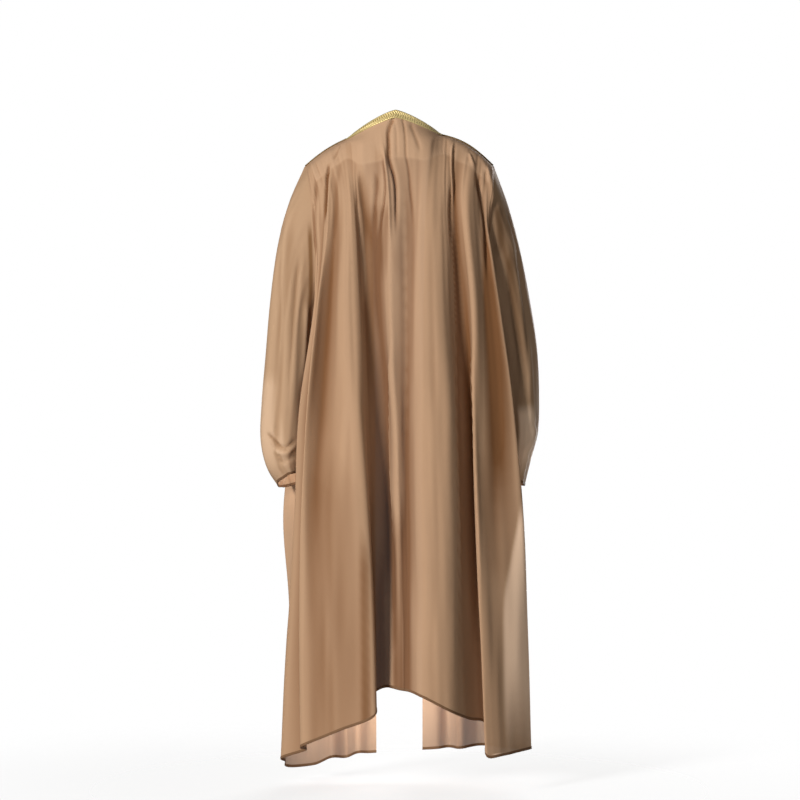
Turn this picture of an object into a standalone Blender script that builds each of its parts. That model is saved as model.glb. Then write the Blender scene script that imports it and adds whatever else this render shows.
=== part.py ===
"""Open-front cloak (bisht) of light cloth, hanging from the shoulders with its sleeves down at the sides.

Metres, +Z up, +X to the wearer's left, -Y to the front. The origin lies between the neck points, where the
cloak is carried. A panel is a sheet of fold lines: each line leaves a seam, runs down a ridge or a trough of
the drape and ends at the hem. Rows and columns between the lines are worked out with smooth curves, and each
sheet then gets a wall of its own thickness.
"""

from collections import namedtuple
import math

import bpy
import numpy as np

# Driving dimensions
WALL = 0.002
HEM_WALL = 0.0034
HEM_DEPTH = 0.012
SEAM_GAP = 0.0003
BRAID_WIDTH = 0.020
BRAID_WALL = 0.0018
BRAID_LAP = 0.0015
BRAID_BOTTOM = -0.66
YOKE_WALL = 0.001
PIPING_RADIUS = 0.0019
PIPING_SIDES = 8

# Rows of a body panel: distances below its top seam, then even shares down to the underarm and to the hem
TOP_ROWS = (0.0, 0.030, 0.062, 0.098)
ROWS_TO_UNDERARM = 7
ROWS_TO_HEM = 10
SLEEVE_ROWS = 14
CURVE_STEPS = 16
FOLD_ROUNDING = 0.009
SEAM_DIAGONAL = np.array([0.31, 0.53, 0.79])

# Heights at which the fold tables place each line
LEVELS = (-0.20, -0.45, -0.70, -0.95, -1.20)
SHOULDER_ROLL = 0.052
SHOULDER_ROLL_DROP = 0.016

# The neckline: a rounded tent round the back of the neck, left end to right end
NECK_APEX = (0.008, 0.016)
NECK_REACH = {"left": 0.105, "right": 0.097}
NECK_DROP = {"left": 0.053, "right": 0.043}
NECK_DEPTH = 0.070
NECK_SLOPE = 1.3

# Shoulder tip, mid-shoulder rise above a straight seam, and the underarm point
SHOULDER_TIP = {"left": (0.229, -0.003, -0.114), "right": (-0.230, -0.003, -0.113)}
SHOULDER_RISE = {"left": 0.006, "right": 0.014}
UNDERARM = {"left": (0.160, 0.0, -0.500), "right": (-0.164, 0.0, -0.500)}

# Each half of an armhole, from the shoulder tip down to the underarm
ARMHOLES = {
    "left_back": ((0.219, 0.045, -0.140), (0.212, 0.074, -0.200), (0.204, 0.084, -0.300),
                  (0.189, 0.070, -0.400), (0.172, 0.042, -0.474)),
    "left_front": ((0.219, -0.048, -0.140), (0.212, -0.078, -0.200), (0.204, -0.088, -0.300),
                   (0.189, -0.074, -0.400), (0.172, -0.045, -0.474)),
    "right_back": ((-0.228, 0.042, -0.142), (-0.224, 0.062, -0.205), (-0.215, 0.070, -0.300),
                   (-0.197, 0.062, -0.400), (-0.177, 0.038, -0.474)),
    "right_front": ((-0.222, -0.048, -0.142), (-0.216, -0.078, -0.200), (-0.208, -0.088, -0.300),
                    (-0.193, -0.074, -0.400), (-0.176, -0.045, -0.474)),
}

# The cloth under an arm hangs in by this much between the side seam and the next fold line
SIDE_SAG = 0.020

# A fold line: its name, the seam it leaves and how far along, (x, y) at each level below that start,
# (x, y, z) at the hem, and the grid columns from it to the next line
Fold = namedtuple("Fold", "name seam at places hem columns")

LEFT_SIDE = Fold("side_left", "armhole_left", 0.0,
                 {-0.70: (0.158, 0.0), -0.95: (0.188, -0.012), -1.20: (0.240, -0.020)},
                 (0.276, -0.016, -1.552), 4)
RIGHT_SIDE = Fold("side_right", "armhole_right", 0.0,
                  {-0.70: (-0.162, 0.0), -0.95: (-0.200, -0.008), -1.20: (-0.262, -0.018)},
                  (-0.306, -0.020, -1.525), 4)

BACK_FOLDS = (
    LEFT_SIDE,
    Fold("side_ridge_left", "shoulder_left", 0.08,
         {-0.20: (0.199, 0.090), -0.45: (0.206, 0.104), -0.70: (0.240, 0.102), -0.95: (0.252, 0.082),
          -1.20: (0.268, 0.054)}, (0.284, 0.030, -1.540), 3),
    Fold("arm_trough_left", "shoulder_left", 0.16,
         {-0.20: (0.183, 0.092), -0.45: (0.190, 0.108), -0.70: (0.208, 0.110), -0.95: (0.214, 0.100),
          -1.20: (0.220, 0.094)}, (0.222, 0.096, -1.512), 3),
    Fold("arm_edge_left", "shoulder_left", 0.28,
         {-0.20: (0.168, 0.108), -0.45: (0.196, 0.136), -0.70: (0.221, 0.150), -0.95: (0.234, 0.160),
          -1.20: (0.236, 0.166)}, (0.232, 0.168, -1.496), 3),
    Fold("blade_trough_left", "shoulder_left", 0.48,
         {-0.20: (0.152, 0.106), -0.45: (0.163, 0.114), -0.70: (0.183, 0.124), -0.95: (0.197, 0.156),
          -1.20: (0.192, 0.184)}, (0.190, 0.190, -1.476), 3),
    Fold("blade_ridge_left", "shoulder_left", 0.72,
         {-0.20: (0.128, 0.124), -0.45: (0.131, 0.156), -0.70: (0.128, 0.176), -0.95: (0.138, 0.196),
          -1.20: (0.140, 0.208)}, (0.138, 0.216, -1.452), 3),
    Fold("centre_edge_left", "neck", 0.0,
         {-0.20: (0.110, 0.127), -0.45: (0.100, 0.156), -0.70: (0.090, 0.182), -0.95: (0.074, 0.206),
          -1.20: (0.060, 0.222)}, (0.054, 0.236, -1.414), 3),
    Fold("centre_trough_left", "neck", 0.22,
         {-0.20: (0.094, 0.114), -0.45: (0.075, 0.122), -0.70: (0.066, 0.126), -0.95: (0.064, 0.134),
          -1.20: (0.064, 0.152)}, (0.062, 0.164, -1.372), 2),
    Fold("centre_trough_right", "neck", 0.34,
         {-0.20: (0.050, 0.120), -0.45: (0.042, 0.118), -0.70: (0.026, 0.112), -0.95: (0.024, 0.122),
          -1.20: (0.030, 0.148)}, (0.034, 0.166, -1.355), 3),
    Fold("centre_pleat", "neck", 0.42,
         {-0.20: (0.026, 0.136), -0.45: (0.021, 0.156), -0.70: (0.010, 0.162), -0.95: (0.004, 0.172),
          -1.20: (-0.003, 0.188)}, (-0.004, 0.200, -1.359), 3),
    Fold("centre_hollow", "neck", 0.56,
         {-0.20: (-0.027, 0.124), -0.45: (-0.022, 0.142), -0.70: (-0.018, 0.146), -0.95: (-0.018, 0.160),
          -1.20: (-0.020, 0.184)}, (-0.020, 0.200, -1.361), 3),
    Fold("broad_ridge_inner", "neck", 0.76,
         {-0.20: (-0.056, 0.137), -0.45: (-0.052, 0.166), -0.70: (-0.054, 0.186), -0.95: (-0.054, 0.206),
          -1.20: (-0.056, 0.222)}, (-0.058, 0.236, -1.374), 3),
    Fold("broad_ridge_outer", "neck", 1.0,
         {-0.20: (-0.100, 0.126), -0.45: (-0.102, 0.158), -0.70: (-0.108, 0.180), -0.95: (-0.112, 0.200),
          -1.20: (-0.117, 0.214)}, (-0.122, 0.224, -1.408), 3),
    Fold("dark_trough_inner", "shoulder_right", 0.8,
         {-0.20: (-0.118, 0.112), -0.45: (-0.126, 0.120), -0.70: (-0.144, 0.122), -0.95: (-0.154, 0.132),
          -1.20: (-0.162, 0.144)}, (-0.170, 0.154, -1.433), 3),
    Fold("dark_trough_outer", "shoulder_right", 0.6,
         {-0.20: (-0.136, 0.106), -0.45: (-0.158, 0.106), -0.70: (-0.178, 0.098), -0.95: (-0.185, 0.106),
          -1.20: (-0.196, 0.116)}, (-0.206, 0.122, -1.444), 3),
    Fold("right_edge", "shoulder_right", 0.4,
         {-0.20: (-0.162, 0.116), -0.45: (-0.176, 0.138), -0.70: (-0.175, 0.152), -0.95: (-0.182, 0.162),
          -1.20: (-0.192, 0.166)}, (-0.206, 0.166, -1.520), 3),
    Fold("blade_trough_right", "shoulder_right", 0.26,
         {-0.20: (-0.190, 0.092), -0.45: (-0.209, 0.108), -0.70: (-0.226, 0.116), -0.95: (-0.232, 0.126),
          -1.20: (-0.238, 0.134)}, (-0.244, 0.140, -1.520), 3),
    Fold("arm_edge_right", "shoulder_right", 0.12,
         {-0.20: (-0.210, 0.080), -0.45: (-0.244, 0.102), -0.70: (-0.278, 0.106), -0.95: (-0.300, 0.098),
          -1.20: (-0.309, 0.070)}, (-0.316, 0.044, -1.515), 3),
    Fold("arm_trough_right", "shoulder_right", 0.05,
         {-0.20: (-0.217, 0.074), -0.45: (-0.216, 0.078), -0.70: (-0.222, 0.078), -0.95: (-0.244, 0.056),
          -1.20: (-0.290, 0.032)}, (-0.318, 0.012, -1.518), 4),
    RIGHT_SIDE,
)

FRONT_LEFT_FOLDS = (
    LEFT_SIDE,
    Fold("front_lobe_left", "shoulder_left", 0.08,
         {-0.20: (0.204, -0.094), -0.45: (0.210, -0.118), -0.70: (0.250, -0.124), -0.95: (0.286, -0.106),
          -1.20: (0.270, -0.092)}, (0.272, -0.082, -1.574), 3),
    Fold("front_side_trough_left", "shoulder_left", 0.16,
         {-0.20: (0.190, -0.102), -0.45: (0.194, -0.124), -0.70: (0.208, -0.130), -0.95: (0.222, -0.128),
          -1.20: (0.214, -0.118)}, (0.210, -0.120, -1.574), 3),
    Fold("front_outer_ridge_left", "shoulder_left", 0.28,
         {-0.20: (0.174, -0.114), -0.45: (0.178, -0.150), -0.70: (0.184, -0.170), -0.95: (0.180, -0.186),
          -1.20: (0.172, -0.196)}, (0.166, -0.204, -1.566), 3),
    Fold("front_trough_left", "shoulder_left", 0.48,
         {-0.20: (0.150, -0.110), -0.45: (0.156, -0.132), -0.70: (0.148, -0.142), -0.95: (0.142, -0.146),
          -1.20: (0.134, -0.148)}, (0.130, -0.152, -1.560), 3),
    Fold("front_inner_ridge_left", "shoulder_left", 0.72,
         {-0.20: (0.122, -0.122), -0.45: (0.122, -0.158), -0.70: (0.116, -0.182), -0.95: (0.110, -0.198),
          -1.20: (0.106, -0.208)}, (0.102, -0.216, -1.556), 3),
    Fold("braid_line_left", "shoulder_left", 1.0,
         {-0.20: (0.092, -0.124), -0.45: (0.083, -0.152), -0.70: (0.079, -0.164), -0.95: (0.078, -0.170),
          -1.20: (0.077, -0.176)}, (0.076, -0.182, -1.552), 2),
    Fold("front_edge_left", "neck_point_left", 0.0,
         {-0.20: (0.072, -0.125), -0.45: (0.063, -0.155), -0.70: (0.059, -0.163), -0.95: (0.058, -0.166),
          -1.20: (0.057, -0.170)}, (0.056, -0.175, -1.550), 0),
)

FRONT_RIGHT_FOLDS = (
    RIGHT_SIDE,
    Fold("front_lobe_right", "shoulder_right", 0.05,
         {-0.20: (-0.208, -0.094), -0.45: (-0.212, -0.118), -0.70: (-0.250, -0.124), -0.95: (-0.290, -0.106),
          -1.20: (-0.302, -0.088)}, (-0.304, -0.080, -1.531), 3),
    Fold("front_side_trough_right", "shoulder_right", 0.12,
         {-0.20: (-0.193, -0.102), -0.45: (-0.196, -0.124), -0.70: (-0.208, -0.130), -0.95: (-0.226, -0.132),
          -1.20: (-0.240, -0.122)}, (-0.246, -0.124, -1.530), 3),
    Fold("front_outer_ridge_right", "shoulder_right", 0.26,
         {-0.20: (-0.176, -0.114), -0.45: (-0.178, -0.150), -0.70: (-0.188, -0.174), -0.95: (-0.192, -0.190),
          -1.20: (-0.196, -0.198)}, (-0.198, -0.206, -1.536), 3),
    Fold("front_trough_right", "shoulder_right", 0.40,
         {-0.20: (-0.150, -0.108), -0.45: (-0.154, -0.134), -0.70: (-0.150, -0.140), -0.95: (-0.150, -0.146),
          -1.20: (-0.152, -0.150)}, (-0.152, -0.154, -1.538), 3),
    Fold("front_inner_ridge_right", "shoulder_right", 0.60,
         {-0.20: (-0.126, -0.124), -0.45: (-0.124, -0.164), -0.70: (-0.122, -0.188), -0.95: (-0.122, -0.200),
          -1.20: (-0.122, -0.210)}, (-0.122, -0.218, -1.542), 3),
    Fold("front_chest_right", "shoulder_right", 0.80,
         {-0.20: (-0.104, -0.122), -0.45: (-0.098, -0.150), -0.70: (-0.096, -0.164), -0.95: (-0.096, -0.172),
          -1.20: (-0.096, -0.180)}, (-0.095, -0.186, -1.542), 3),
    Fold("braid_line_right", "shoulder_right", 1.0,
         {-0.20: (-0.086, -0.124), -0.45: (-0.080, -0.154), -0.70: (-0.077, -0.166), -0.95: (-0.077, -0.172),
          -1.20: (-0.078, -0.178)}, (-0.078, -0.184, -1.543), 2),
    Fold("front_edge_right", "neck_point_right", 0.0,
         {-0.20: (-0.066, -0.125), -0.45: (-0.060, -0.156), -0.70: (-0.057, -0.164), -0.95: (-0.057, -0.168),
          -1.20: (-0.058, -0.172)}, (-0.058, -0.178, -1.543), 0),
)

# A sleeve section: its name, outer and inner (x, z) as seen from behind, how far it reaches back and forward
# of the arm, and how much its rear edge is lifted
Section = namedtuple("Section", "name outer inner back front lift")
SLEEVES = {
    "left": (
        Section("cap", (0.266, -0.200), (0.170, -0.512), 0.084, 0.078, 0.0),
        Section("upper_arm", (0.292, -0.305), (0.184, -0.545), 0.084, 0.078, 0.0),
        Section("mid_arm", (0.308, -0.425), (0.192, -0.592), 0.080, 0.079, 0.0),
        Section("elbow", (0.320, -0.560), (0.197, -0.655), 0.073, 0.079, 0.0),
        Section("forearm", (0.330, -0.685), (0.201, -0.730), 0.068, 0.078, 0.0),
        Section("wrist", (0.332, -0.778), (0.206, -0.800), 0.063, 0.074, 0.004),
        Section("drop", (0.317, -0.845), (0.216, -0.842), 0.056, 0.066, 0.012),
        Section("cuff", (0.291, -0.886), (0.226, -0.866), 0.048, 0.058, 0.022),
    ),
    "right": (
        Section("cap", (-0.262, -0.205), (-0.174, -0.512), 0.070, 0.078, 0.0),
        Section("upper_arm", (-0.291, -0.310), (-0.187, -0.545), 0.070, 0.078, 0.0),
        Section("mid_arm", (-0.314, -0.425), (-0.195, -0.592), 0.068, 0.079, 0.0),
        Section("elbow", (-0.333, -0.550), (-0.200, -0.655), 0.064, 0.079, 0.0),
        Section("forearm", (-0.338, -0.665), (-0.204, -0.730), 0.060, 0.078, 0.0),
        Section("wrist", (-0.335, -0.757), (-0.210, -0.795), 0.056, 0.074, 0.0),
        Section("drop", (-0.318, -0.822), (-0.222, -0.838), 0.050, 0.066, 0.004),
        Section("cuff", (-0.303, -0.884), (-0.242, -0.872), 0.042, 0.058, 0.008),
    ),
}
ARM_CENTRE_Y = -0.006
SLEEVE_PINCH = 0.26

# Long soft folds down a sleeve: place round it in degrees from the outer side through the back, height of the
# ridge (troughs are negative), and half-width in degrees
SleeveFold = namedtuple("SleeveFold", "angle height half_width")
SLEEVE_FOLDS = {
    "left": (SleeveFold(28, 0.006, 20), SleeveFold(62, -0.006, 16), SleeveFold(95, 0.004, 16),
             SleeveFold(-35, -0.006, 20), SleeveFold(-75, 0.008, 20), SleeveFold(-115, -0.006, 18)),
    "right": (SleeveFold(24, -0.005, 14), SleeveFold(50, 0.006, 14), SleeveFold(84, -0.007, 18),
              SleeveFold(-30, 0.007, 20), SleeveFold(-68, -0.007, 18), SleeveFold(-108, 0.006, 18)),
}

COLOURS = {
    "cloth": ((0.42, 0.27, 0.155, 1.0), 0.75, 0.0),
    "yoke": ((0.44, 0.29, 0.17, 1.0), 0.80, 0.0),
    "gold": ((0.66, 0.48, 0.13, 1.0), 0.38, 0.75),
}


def smooth_curve(points, shares):
    """Points of a centripetal Catmull-Rom curve through points, at shares given as segment + fraction."""
    points = np.asarray(points, float)
    steps = np.linalg.norm(np.diff(points, axis=0), axis=1) ** 0.5 + 1e-9
    slopes = np.diff(points, axis=0) / steps[:, None]
    tangents = np.empty_like(points)
    tangents[0], tangents[-1] = slopes[0], slopes[-1]
    before, after = steps[:-1, None], steps[1:, None]
    tangents[1:-1] = (slopes[:-1] * after + slopes[1:] * before) / (before + after)
    shares = np.asarray(shares, float)
    segment = np.minimum(shares.astype(int), len(points) - 2)
    t = (shares - segment)[:, None]
    step = steps[segment][:, None]
    return (
        (2 * t**3 - 3 * t**2 + 1) * points[segment]
        + (t**3 - 2 * t**2 + t) * step * tangents[segment]
        + (3 * t**2 - 2 * t**3) * points[segment + 1]
        + (t**3 - t**2) * step * tangents[segment + 1]
    )


def along(points, distances=None, shares=None):
    """Points of the smooth curve at distances from its start, or at shares of its length."""
    dense = smooth_curve(points, np.linspace(0, len(points) - 1, CURVE_STEPS * (len(points) - 1) + 1))
    run = np.concatenate([[0.0], np.cumsum(np.linalg.norm(np.diff(dense, axis=0), axis=1))])
    wanted = np.asarray(distances if shares is None else np.asarray(shares) * run[-1], float)
    return np.stack([np.interp(wanted, run, dense[:, axis]) for axis in range(3)], axis=1), run[-1]


def neck_point(share):
    """A point on the neckline, from the left neck point (0) round the back to the right one (1)."""
    angle = math.pi * share
    side = "left" if share < 0.5 else "right"
    across = math.cos(angle)
    return np.array([
        NECK_APEX[0] + NECK_REACH[side] * across,
        0.002 + NECK_DEPTH * math.sin(angle),
        NECK_APEX[1] - NECK_DROP[side] * abs(across) ** NECK_SLOPE,
    ])


def neck_outward(share):
    """The direction in which the braid lies from the neckline: down the back, or out along a shoulder."""
    angle = math.pi * share
    down_back = np.array([0.0, 0.36, -0.93])
    side = "left" if share < 0.5 else "right"
    along_shoulder = np.array(SHOULDER_TIP[side]) - neck_point(0.0 if side == "left" else 1.0)
    along_shoulder /= np.linalg.norm(along_shoulder)
    mixed = math.sin(angle) * down_back + abs(math.cos(angle)) * along_shoulder
    return mixed / np.linalg.norm(mixed)


def braid_foot(share):
    """A point on the lower edge of the braid round the neck."""
    return neck_point(share) + BRAID_WIDTH * neck_outward(share)


def shoulder_seam(side, share):
    """A point on a shoulder seam, from the shoulder tip (0) to the outer edge of the braid (1)."""
    tip = np.array(SHOULDER_TIP[side])
    foot = braid_foot(0.0 if side == "left" else 1.0)
    rise = SHOULDER_RISE[side] * math.sin(math.pi * share)
    return tip + (foot - tip) * share + np.array([0.0, 0.0, rise])


def seam_start(fold):
    """Where a fold line leaves its seam."""
    if fold.seam == "neck":
        return braid_foot(fold.at)
    part, side = fold.seam.rsplit("_", 1)
    if part == "shoulder":
        return shoulder_seam(side, fold.at)
    return neck_point(0.0 if side == "left" else 1.0)


def fold_chain(fold, half):
    """The points that a fold line passes, from its seam to the hem."""
    start = seam_start(fold)
    backward = 1 if half == "back" else -1
    over = abs(math.cos(math.pi * fold.at)) ** 2 if fold.seam == "neck" else 1.0
    roll = np.array([0.0, backward * SHOULDER_ROLL, -SHOULDER_ROLL_DROP])
    fall = np.array([0.0, 0.024, -0.050])
    aside = np.array([(fold.places[LEVELS[0]][0] - start[0]) * 0.25, 0.0, 0.0])
    chain = [start, start + over * roll + (1 - over) * fall + aside]
    chain += [np.array([*fold.places[level], level]) for level in LEVELS]
    return [*chain, np.array(fold.hem)]


def upper_shares(length):
    """Shares of a line's length from its seam to the underarm level at which it carries its rows."""
    first = TOP_ROWS[-1] / length
    even = [first + (1 - first) * (k + 1) / ROWS_TO_UNDERARM for k in range(ROWS_TO_UNDERARM)]
    return [*[distance / length for distance in TOP_ROWS], *even]


def lower_distances(upper, length):
    """Distances at which a line carries its rows from the underarm level to the hem."""
    even = [upper + (length - HEM_DEPTH - upper) * (k + 1) / ROWS_TO_HEM for k in range(ROWS_TO_HEM)]
    return [*even, length]


def line_rows(fold, half):
    """The points of a fold line at the panel's rows."""
    if fold.seam.startswith("armhole"):
        return side_rows(fold, half)
    chain = fold_chain(fold, half)
    length = along(chain, shares=[1.0])[1]
    probes = np.linspace(0, length, 400)
    heights = along(chain, distances=probes)[0][:, 2]
    upper = float(np.interp(-UNDERARM["left"][2], -heights, probes))
    distances = [upper * share for share in upper_shares(upper)] + lower_distances(upper, length)
    return along(chain, distances=distances)[0]


def side_rows(fold, half):
    """The points of a side line at the panel's rows: down the armhole, then down the side seam."""
    side = fold.seam.rsplit("_", 1)[1]
    hole = [SHOULDER_TIP[side], *ARMHOLES[f"{side}_{half}"], UNDERARM[side]]
    length = along(hole, shares=[1.0])[1]
    upper = along(hole, shares=upper_shares(length))[0]
    seam = [UNDERARM[side], *[(*fold.places[level], level) for level in fold.places], fold.hem]
    length = along(seam, shares=[1.0])[1]
    return np.concatenate([upper, along(seam, distances=lower_distances(0.0, length))[0]])


def column_shares(folds):
    """Segment + fraction of every grid column across the fold lines."""
    shares = []
    for index, fold in enumerate(folds[:-1]):
        shares += [index + k / fold.columns for k in range(fold.columns)]
    return [*shares, len(folds) - 1.0]


def panel_grid(folds, half):
    """Rows by columns of points over a panel, from its fold lines."""
    lines = [line_rows(fold, half) for fold in folds]
    shares = column_shares(folds)
    grid = np.stack([rounded_row([line[row] for line in lines], shares) for row in range(len(lines[0]))])
    for column, share in enumerate(shares):
        # The top row lies exactly on the seams, so that neighbouring panels share its points
        grid[0, column] = top_edge(folds, share)
        for fold, part in ((folds[0], share), (folds[-1], len(folds) - 1 - share)):
            if fold.seam.startswith("armhole") and part < 1:
                sag_under_arm(grid[:, column], part, fold.seam.endswith("left"))
    return grid


def rounded_row(points, shares):
    """A row of a panel: the smooth curve across the fold lines, with its ridges and troughs rounded off."""
    steps = CURVE_STEPS * (len(points) - 1)
    dense = smooth_curve(points, np.linspace(0, len(points) - 1, steps + 1))
    run = np.concatenate([[0.0], np.cumsum(np.linalg.norm(np.diff(dense, axis=0), axis=1))])
    pace = run[-1] / round(run[-1] / 0.002)
    even_run = np.arange(round(run[-1] / pace) + 1) * pace
    even = np.stack([np.interp(even_run, run, dense[:, axis]) for axis in range(3)], axis=1)
    reach = int(4 * FOLD_ROUNDING / pace)
    weights = np.exp(-0.5 * (np.arange(-reach, reach + 1) * pace / FOLD_ROUNDING) ** 2)
    before = 2 * even[0] - even[reach:0:-1]
    after = 2 * even[-1] - even[-2:-reach - 2:-1]
    padded = np.concatenate([before, even, after])
    weights /= weights.sum()
    soft = np.stack([np.convolve(padded[:, axis], weights, "valid") for axis in range(3)], axis=1)
    places = np.interp(np.asarray(shares) * CURVE_STEPS, np.arange(steps + 1), run)
    return np.stack([np.interp(places, even_run, soft[:, axis]) for axis in range(3)], axis=1)


def sag_under_arm(points, part, left):
    """Moves a column between the side seam (0) and the next fold line (1) in towards the body."""
    for point in points:
        below = (UNDERARM["left"][2] + 0.09 - point[2]) / 0.12
        above = (point[2] + 1.25) / 0.30
        strength = ease(below) * ease(above) * 4 * part * (1 - part)
        point[0] += (-1 if left else 1) * SIDE_SAG * strength


def ease(value):
    """0 below 0 and 1 above 1, with a smooth rise between."""
    value = min(max(value, 0.0), 1.0)
    return value * value * (3 - 2 * value)


def top_edge(folds, share):
    """The point of a panel's top edge at a column, on the seam that its two fold lines leave."""
    index = min(int(share), len(folds) - 2)
    here, after = folds[index], folds[index + 1]
    part = share - index
    kinds = [fold.seam.split("_")[0] for fold in (here, after)]
    if "neck" in (here.seam, after.seam) and kinds[0] == kinds[1]:
        return braid_foot(here.at + (after.at - here.at) * part)
    if after.seam.startswith("neck_point"):
        return shoulder_seam_end(after.seam.rsplit("_", 1)[1], part)
    seam = here.seam if kinds[0] == "shoulder" else after.seam
    ends = [end_on(fold, seam) for fold in (here, after)]
    return shoulder_seam(seam.rsplit("_", 1)[1], ends[0] + (ends[1] - ends[0]) * part)


def shoulder_seam_end(side, part):
    """A point on the shoulder seam under the braid, from the braid's foot (0) to the neck point (1)."""
    share = 0.0 if side == "left" else 1.0
    foot = braid_foot(share)
    return foot + (neck_point(share) - foot) * part


def end_on(fold, seam):
    """How far along a shoulder seam a fold line starts: 0 at the armhole, and 1 at the neck."""
    if fold.seam == seam:
        return fold.at
    return 0.0 if fold.seam.startswith("armhole") else 1.0


class Sheet:
    """A surface of points and triangles, before it has a wall."""

    def __init__(self, name, points, quads):
        self.name = name
        self.points = np.asarray(points, float)
        self.quads = np.asarray(quads, int)
        self.faces = np.array([half for quad in quads for half in self.split(quad)])
        self.hem = np.zeros(len(self.points), bool)
        self.closed = False
        self.normals = self.vertex_normals()

    def split(self, quad):
        """A quad's two triangles, cut along its shorter diagonal."""
        a, b, c, d = (int(vertex) for vertex in quad)
        across = np.linalg.norm(self.points[a] - self.points[c])
        other = np.linalg.norm(self.points[b] - self.points[d])
        return ((a, b, c), (a, c, d)) if across < other else ((a, b, d), (b, c, d))

    def vertex_normals(self):
        corners = self.points[self.faces]
        crosses = np.cross(corners[:, 1] - corners[:, 0], corners[:, 2] - corners[:, 0])
        normals = np.zeros_like(self.points)
        for corner in range(3):
            np.add.at(normals, self.faces[:, corner], crosses)
        return normals / np.maximum(np.linalg.norm(normals, axis=1, keepdims=True), 1e-12)

    def rim(self):
        """Directed boundary edges, each with its face on its left seen from outside."""
        edges = {}
        for face in self.faces.tolist():
            for a, b in zip(face, face[1:] + face[:1]):
                edges[(a, b)] = True
        return [edge for edge in edges if (edge[1], edge[0]) not in edges]


def grid_sheet(name, grid, closed=False):
    """A sheet from rows by columns of points. Columns run so that the faces point outwards."""
    rows, columns = grid.shape[:2]
    quads = []
    for row in range(rows - 1):
        for column in range(columns if closed else columns - 1):
            after = (column + 1) % columns
            top, below = row * columns, (row + 1) * columns
            quads.append((top + column, below + column, below + after, top + after))
    sheet = Sheet(name, grid.reshape(-1, 3), quads)
    sheet.closed = closed
    return sheet


def mark_hem(sheet, first, last):
    sheet.hem[first:last] = True


def back_sheet(grid):
    """The back panel: its grid from the braid's foot down, and a strip from there up to the neckline."""
    sheet = grid_sheet("back", grid)
    shares = column_shares(BACK_FOLDS)
    neck = neck_columns()
    points, quads = list(sheet.points), list(sheet.quads)
    lower = neck
    for part in (0.5, 1.0):
        upper = []
        for column in neck:
            share = neck_share(shares[column])
            foot, edge = braid_foot(share), neck_point(share)
            points.append(foot + (edge - foot) * part)
            upper.append(len(points) - 1)
        for k in range(len(neck) - 1):
            quads.append((upper[k], lower[k], lower[k + 1], upper[k + 1]))
        lower = upper
    whole = Sheet("back", points, quads)
    columns = grid.shape[1]
    mark_hem(whole, (grid.shape[0] - 2) * columns, grid.shape[0] * columns)
    return whole


def neck_columns():
    """Grid columns of the back panel between the two ends of the braid's foot."""
    shares = column_shares(BACK_FOLDS)
    first = next(k for k, fold in enumerate(BACK_FOLDS) if fold.seam == "neck")
    last = max(k for k, fold in enumerate(BACK_FOLDS) if fold.seam == "neck")
    return [column for column, share in enumerate(shares) if first <= share <= last]


def neck_share(share):
    """How far round the neckline a grid column of the back panel lies."""
    index = min(int(share), len(BACK_FOLDS) - 2)
    here, after = BACK_FOLDS[index], BACK_FOLDS[index + 1]
    if share == index:
        return here.at
    return here.at + (after.at - here.at) * (share - index)


def armhole_loop(side, back, front):
    """The armhole's points: up its back half from the underarm, and down its front half."""
    last = len(TOP_ROWS) - 1 + ROWS_TO_UNDERARM
    back_column, front_column = (0, 0) if side == "left" else (-1, 0)
    up = back[last::-1, back_column]
    down = front[1:last, front_column]
    return np.concatenate([up, down])


def sleeve_grid(side, loop):
    """Rows by columns of a sleeve, from the armhole's points down through its sections."""
    outward = 1 if side == "left" else -1
    count = len(loop)
    tip = len(TOP_ROWS) - 1 + ROWS_TO_UNDERARM
    top, bottom = loop[tip, 2], loop[0, 2]
    grid = []
    for column, start in enumerate(loop):
        half = 1 if column <= tip else -1
        even = math.pi * (1 - column / tip) if half > 0 else math.pi * (column - tip) / (count - tip)
        # Near the armhole a column keeps its height, so that it leaves the seam squarely
        level = math.acos(min(max(1 - 2 * (top - start[2]) / (top - bottom), -1.0), 1.0))
        chain = [start]
        for index, section in enumerate(SLEEVES[side]):
            turned = ease(index / 4)
            chain.append(section_point(section, half * (level + (even - level) * turned)))
        length = along(chain, shares=[1.0])[1]
        even_rows = [(length - HEM_DEPTH) * k / (SLEEVE_ROWS - 1) for k in range(SLEEVE_ROWS)]
        line = along(chain, distances=[*even_rows, length])[0]
        for row, point in enumerate(line):
            out = np.array([outward * math.cos(even), half * math.sin(even), 0.0])
            point += fold_push(side, half * even, row / SLEEVE_ROWS) * out
        grid.append(line)
    return np.stack(grid, axis=1)


def section_point(section, angle):
    """A point of a sleeve section: angle 0 is the outer side, and positive angles go round the back."""
    outer, inner = np.array(section.outer), np.array(section.inner)
    middle, half = (outer + inner) / 2, (outer - inner) / 2
    x, z = middle + half * math.cos(angle)
    depth = section.back if angle > 0 else section.front
    y = ARM_CENTRE_Y + depth * math.sin(angle) * (1 + SLEEVE_PINCH * math.cos(angle))
    rise = section.lift * math.sin(angle) * (1.0 if angle > 0 else 0.4)
    return np.array([x, y, z + rise])


def fold_push(side, angle, share):
    """How far the sleeve's long folds move a point outwards, growing from the armhole down."""
    strength = ease(share / 0.35) * (1 - 0.4 * ease((share - 0.8) / 0.2))
    push = 0.0
    for fold in SLEEVE_FOLDS[side]:
        apart = math.degrees(angle) - fold.angle
        push += fold.height * math.exp(-((apart / fold.half_width) ** 2))
    return push * strength


def point_key(point):
    return tuple(np.round(point * 1e5).astype(int))


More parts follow.
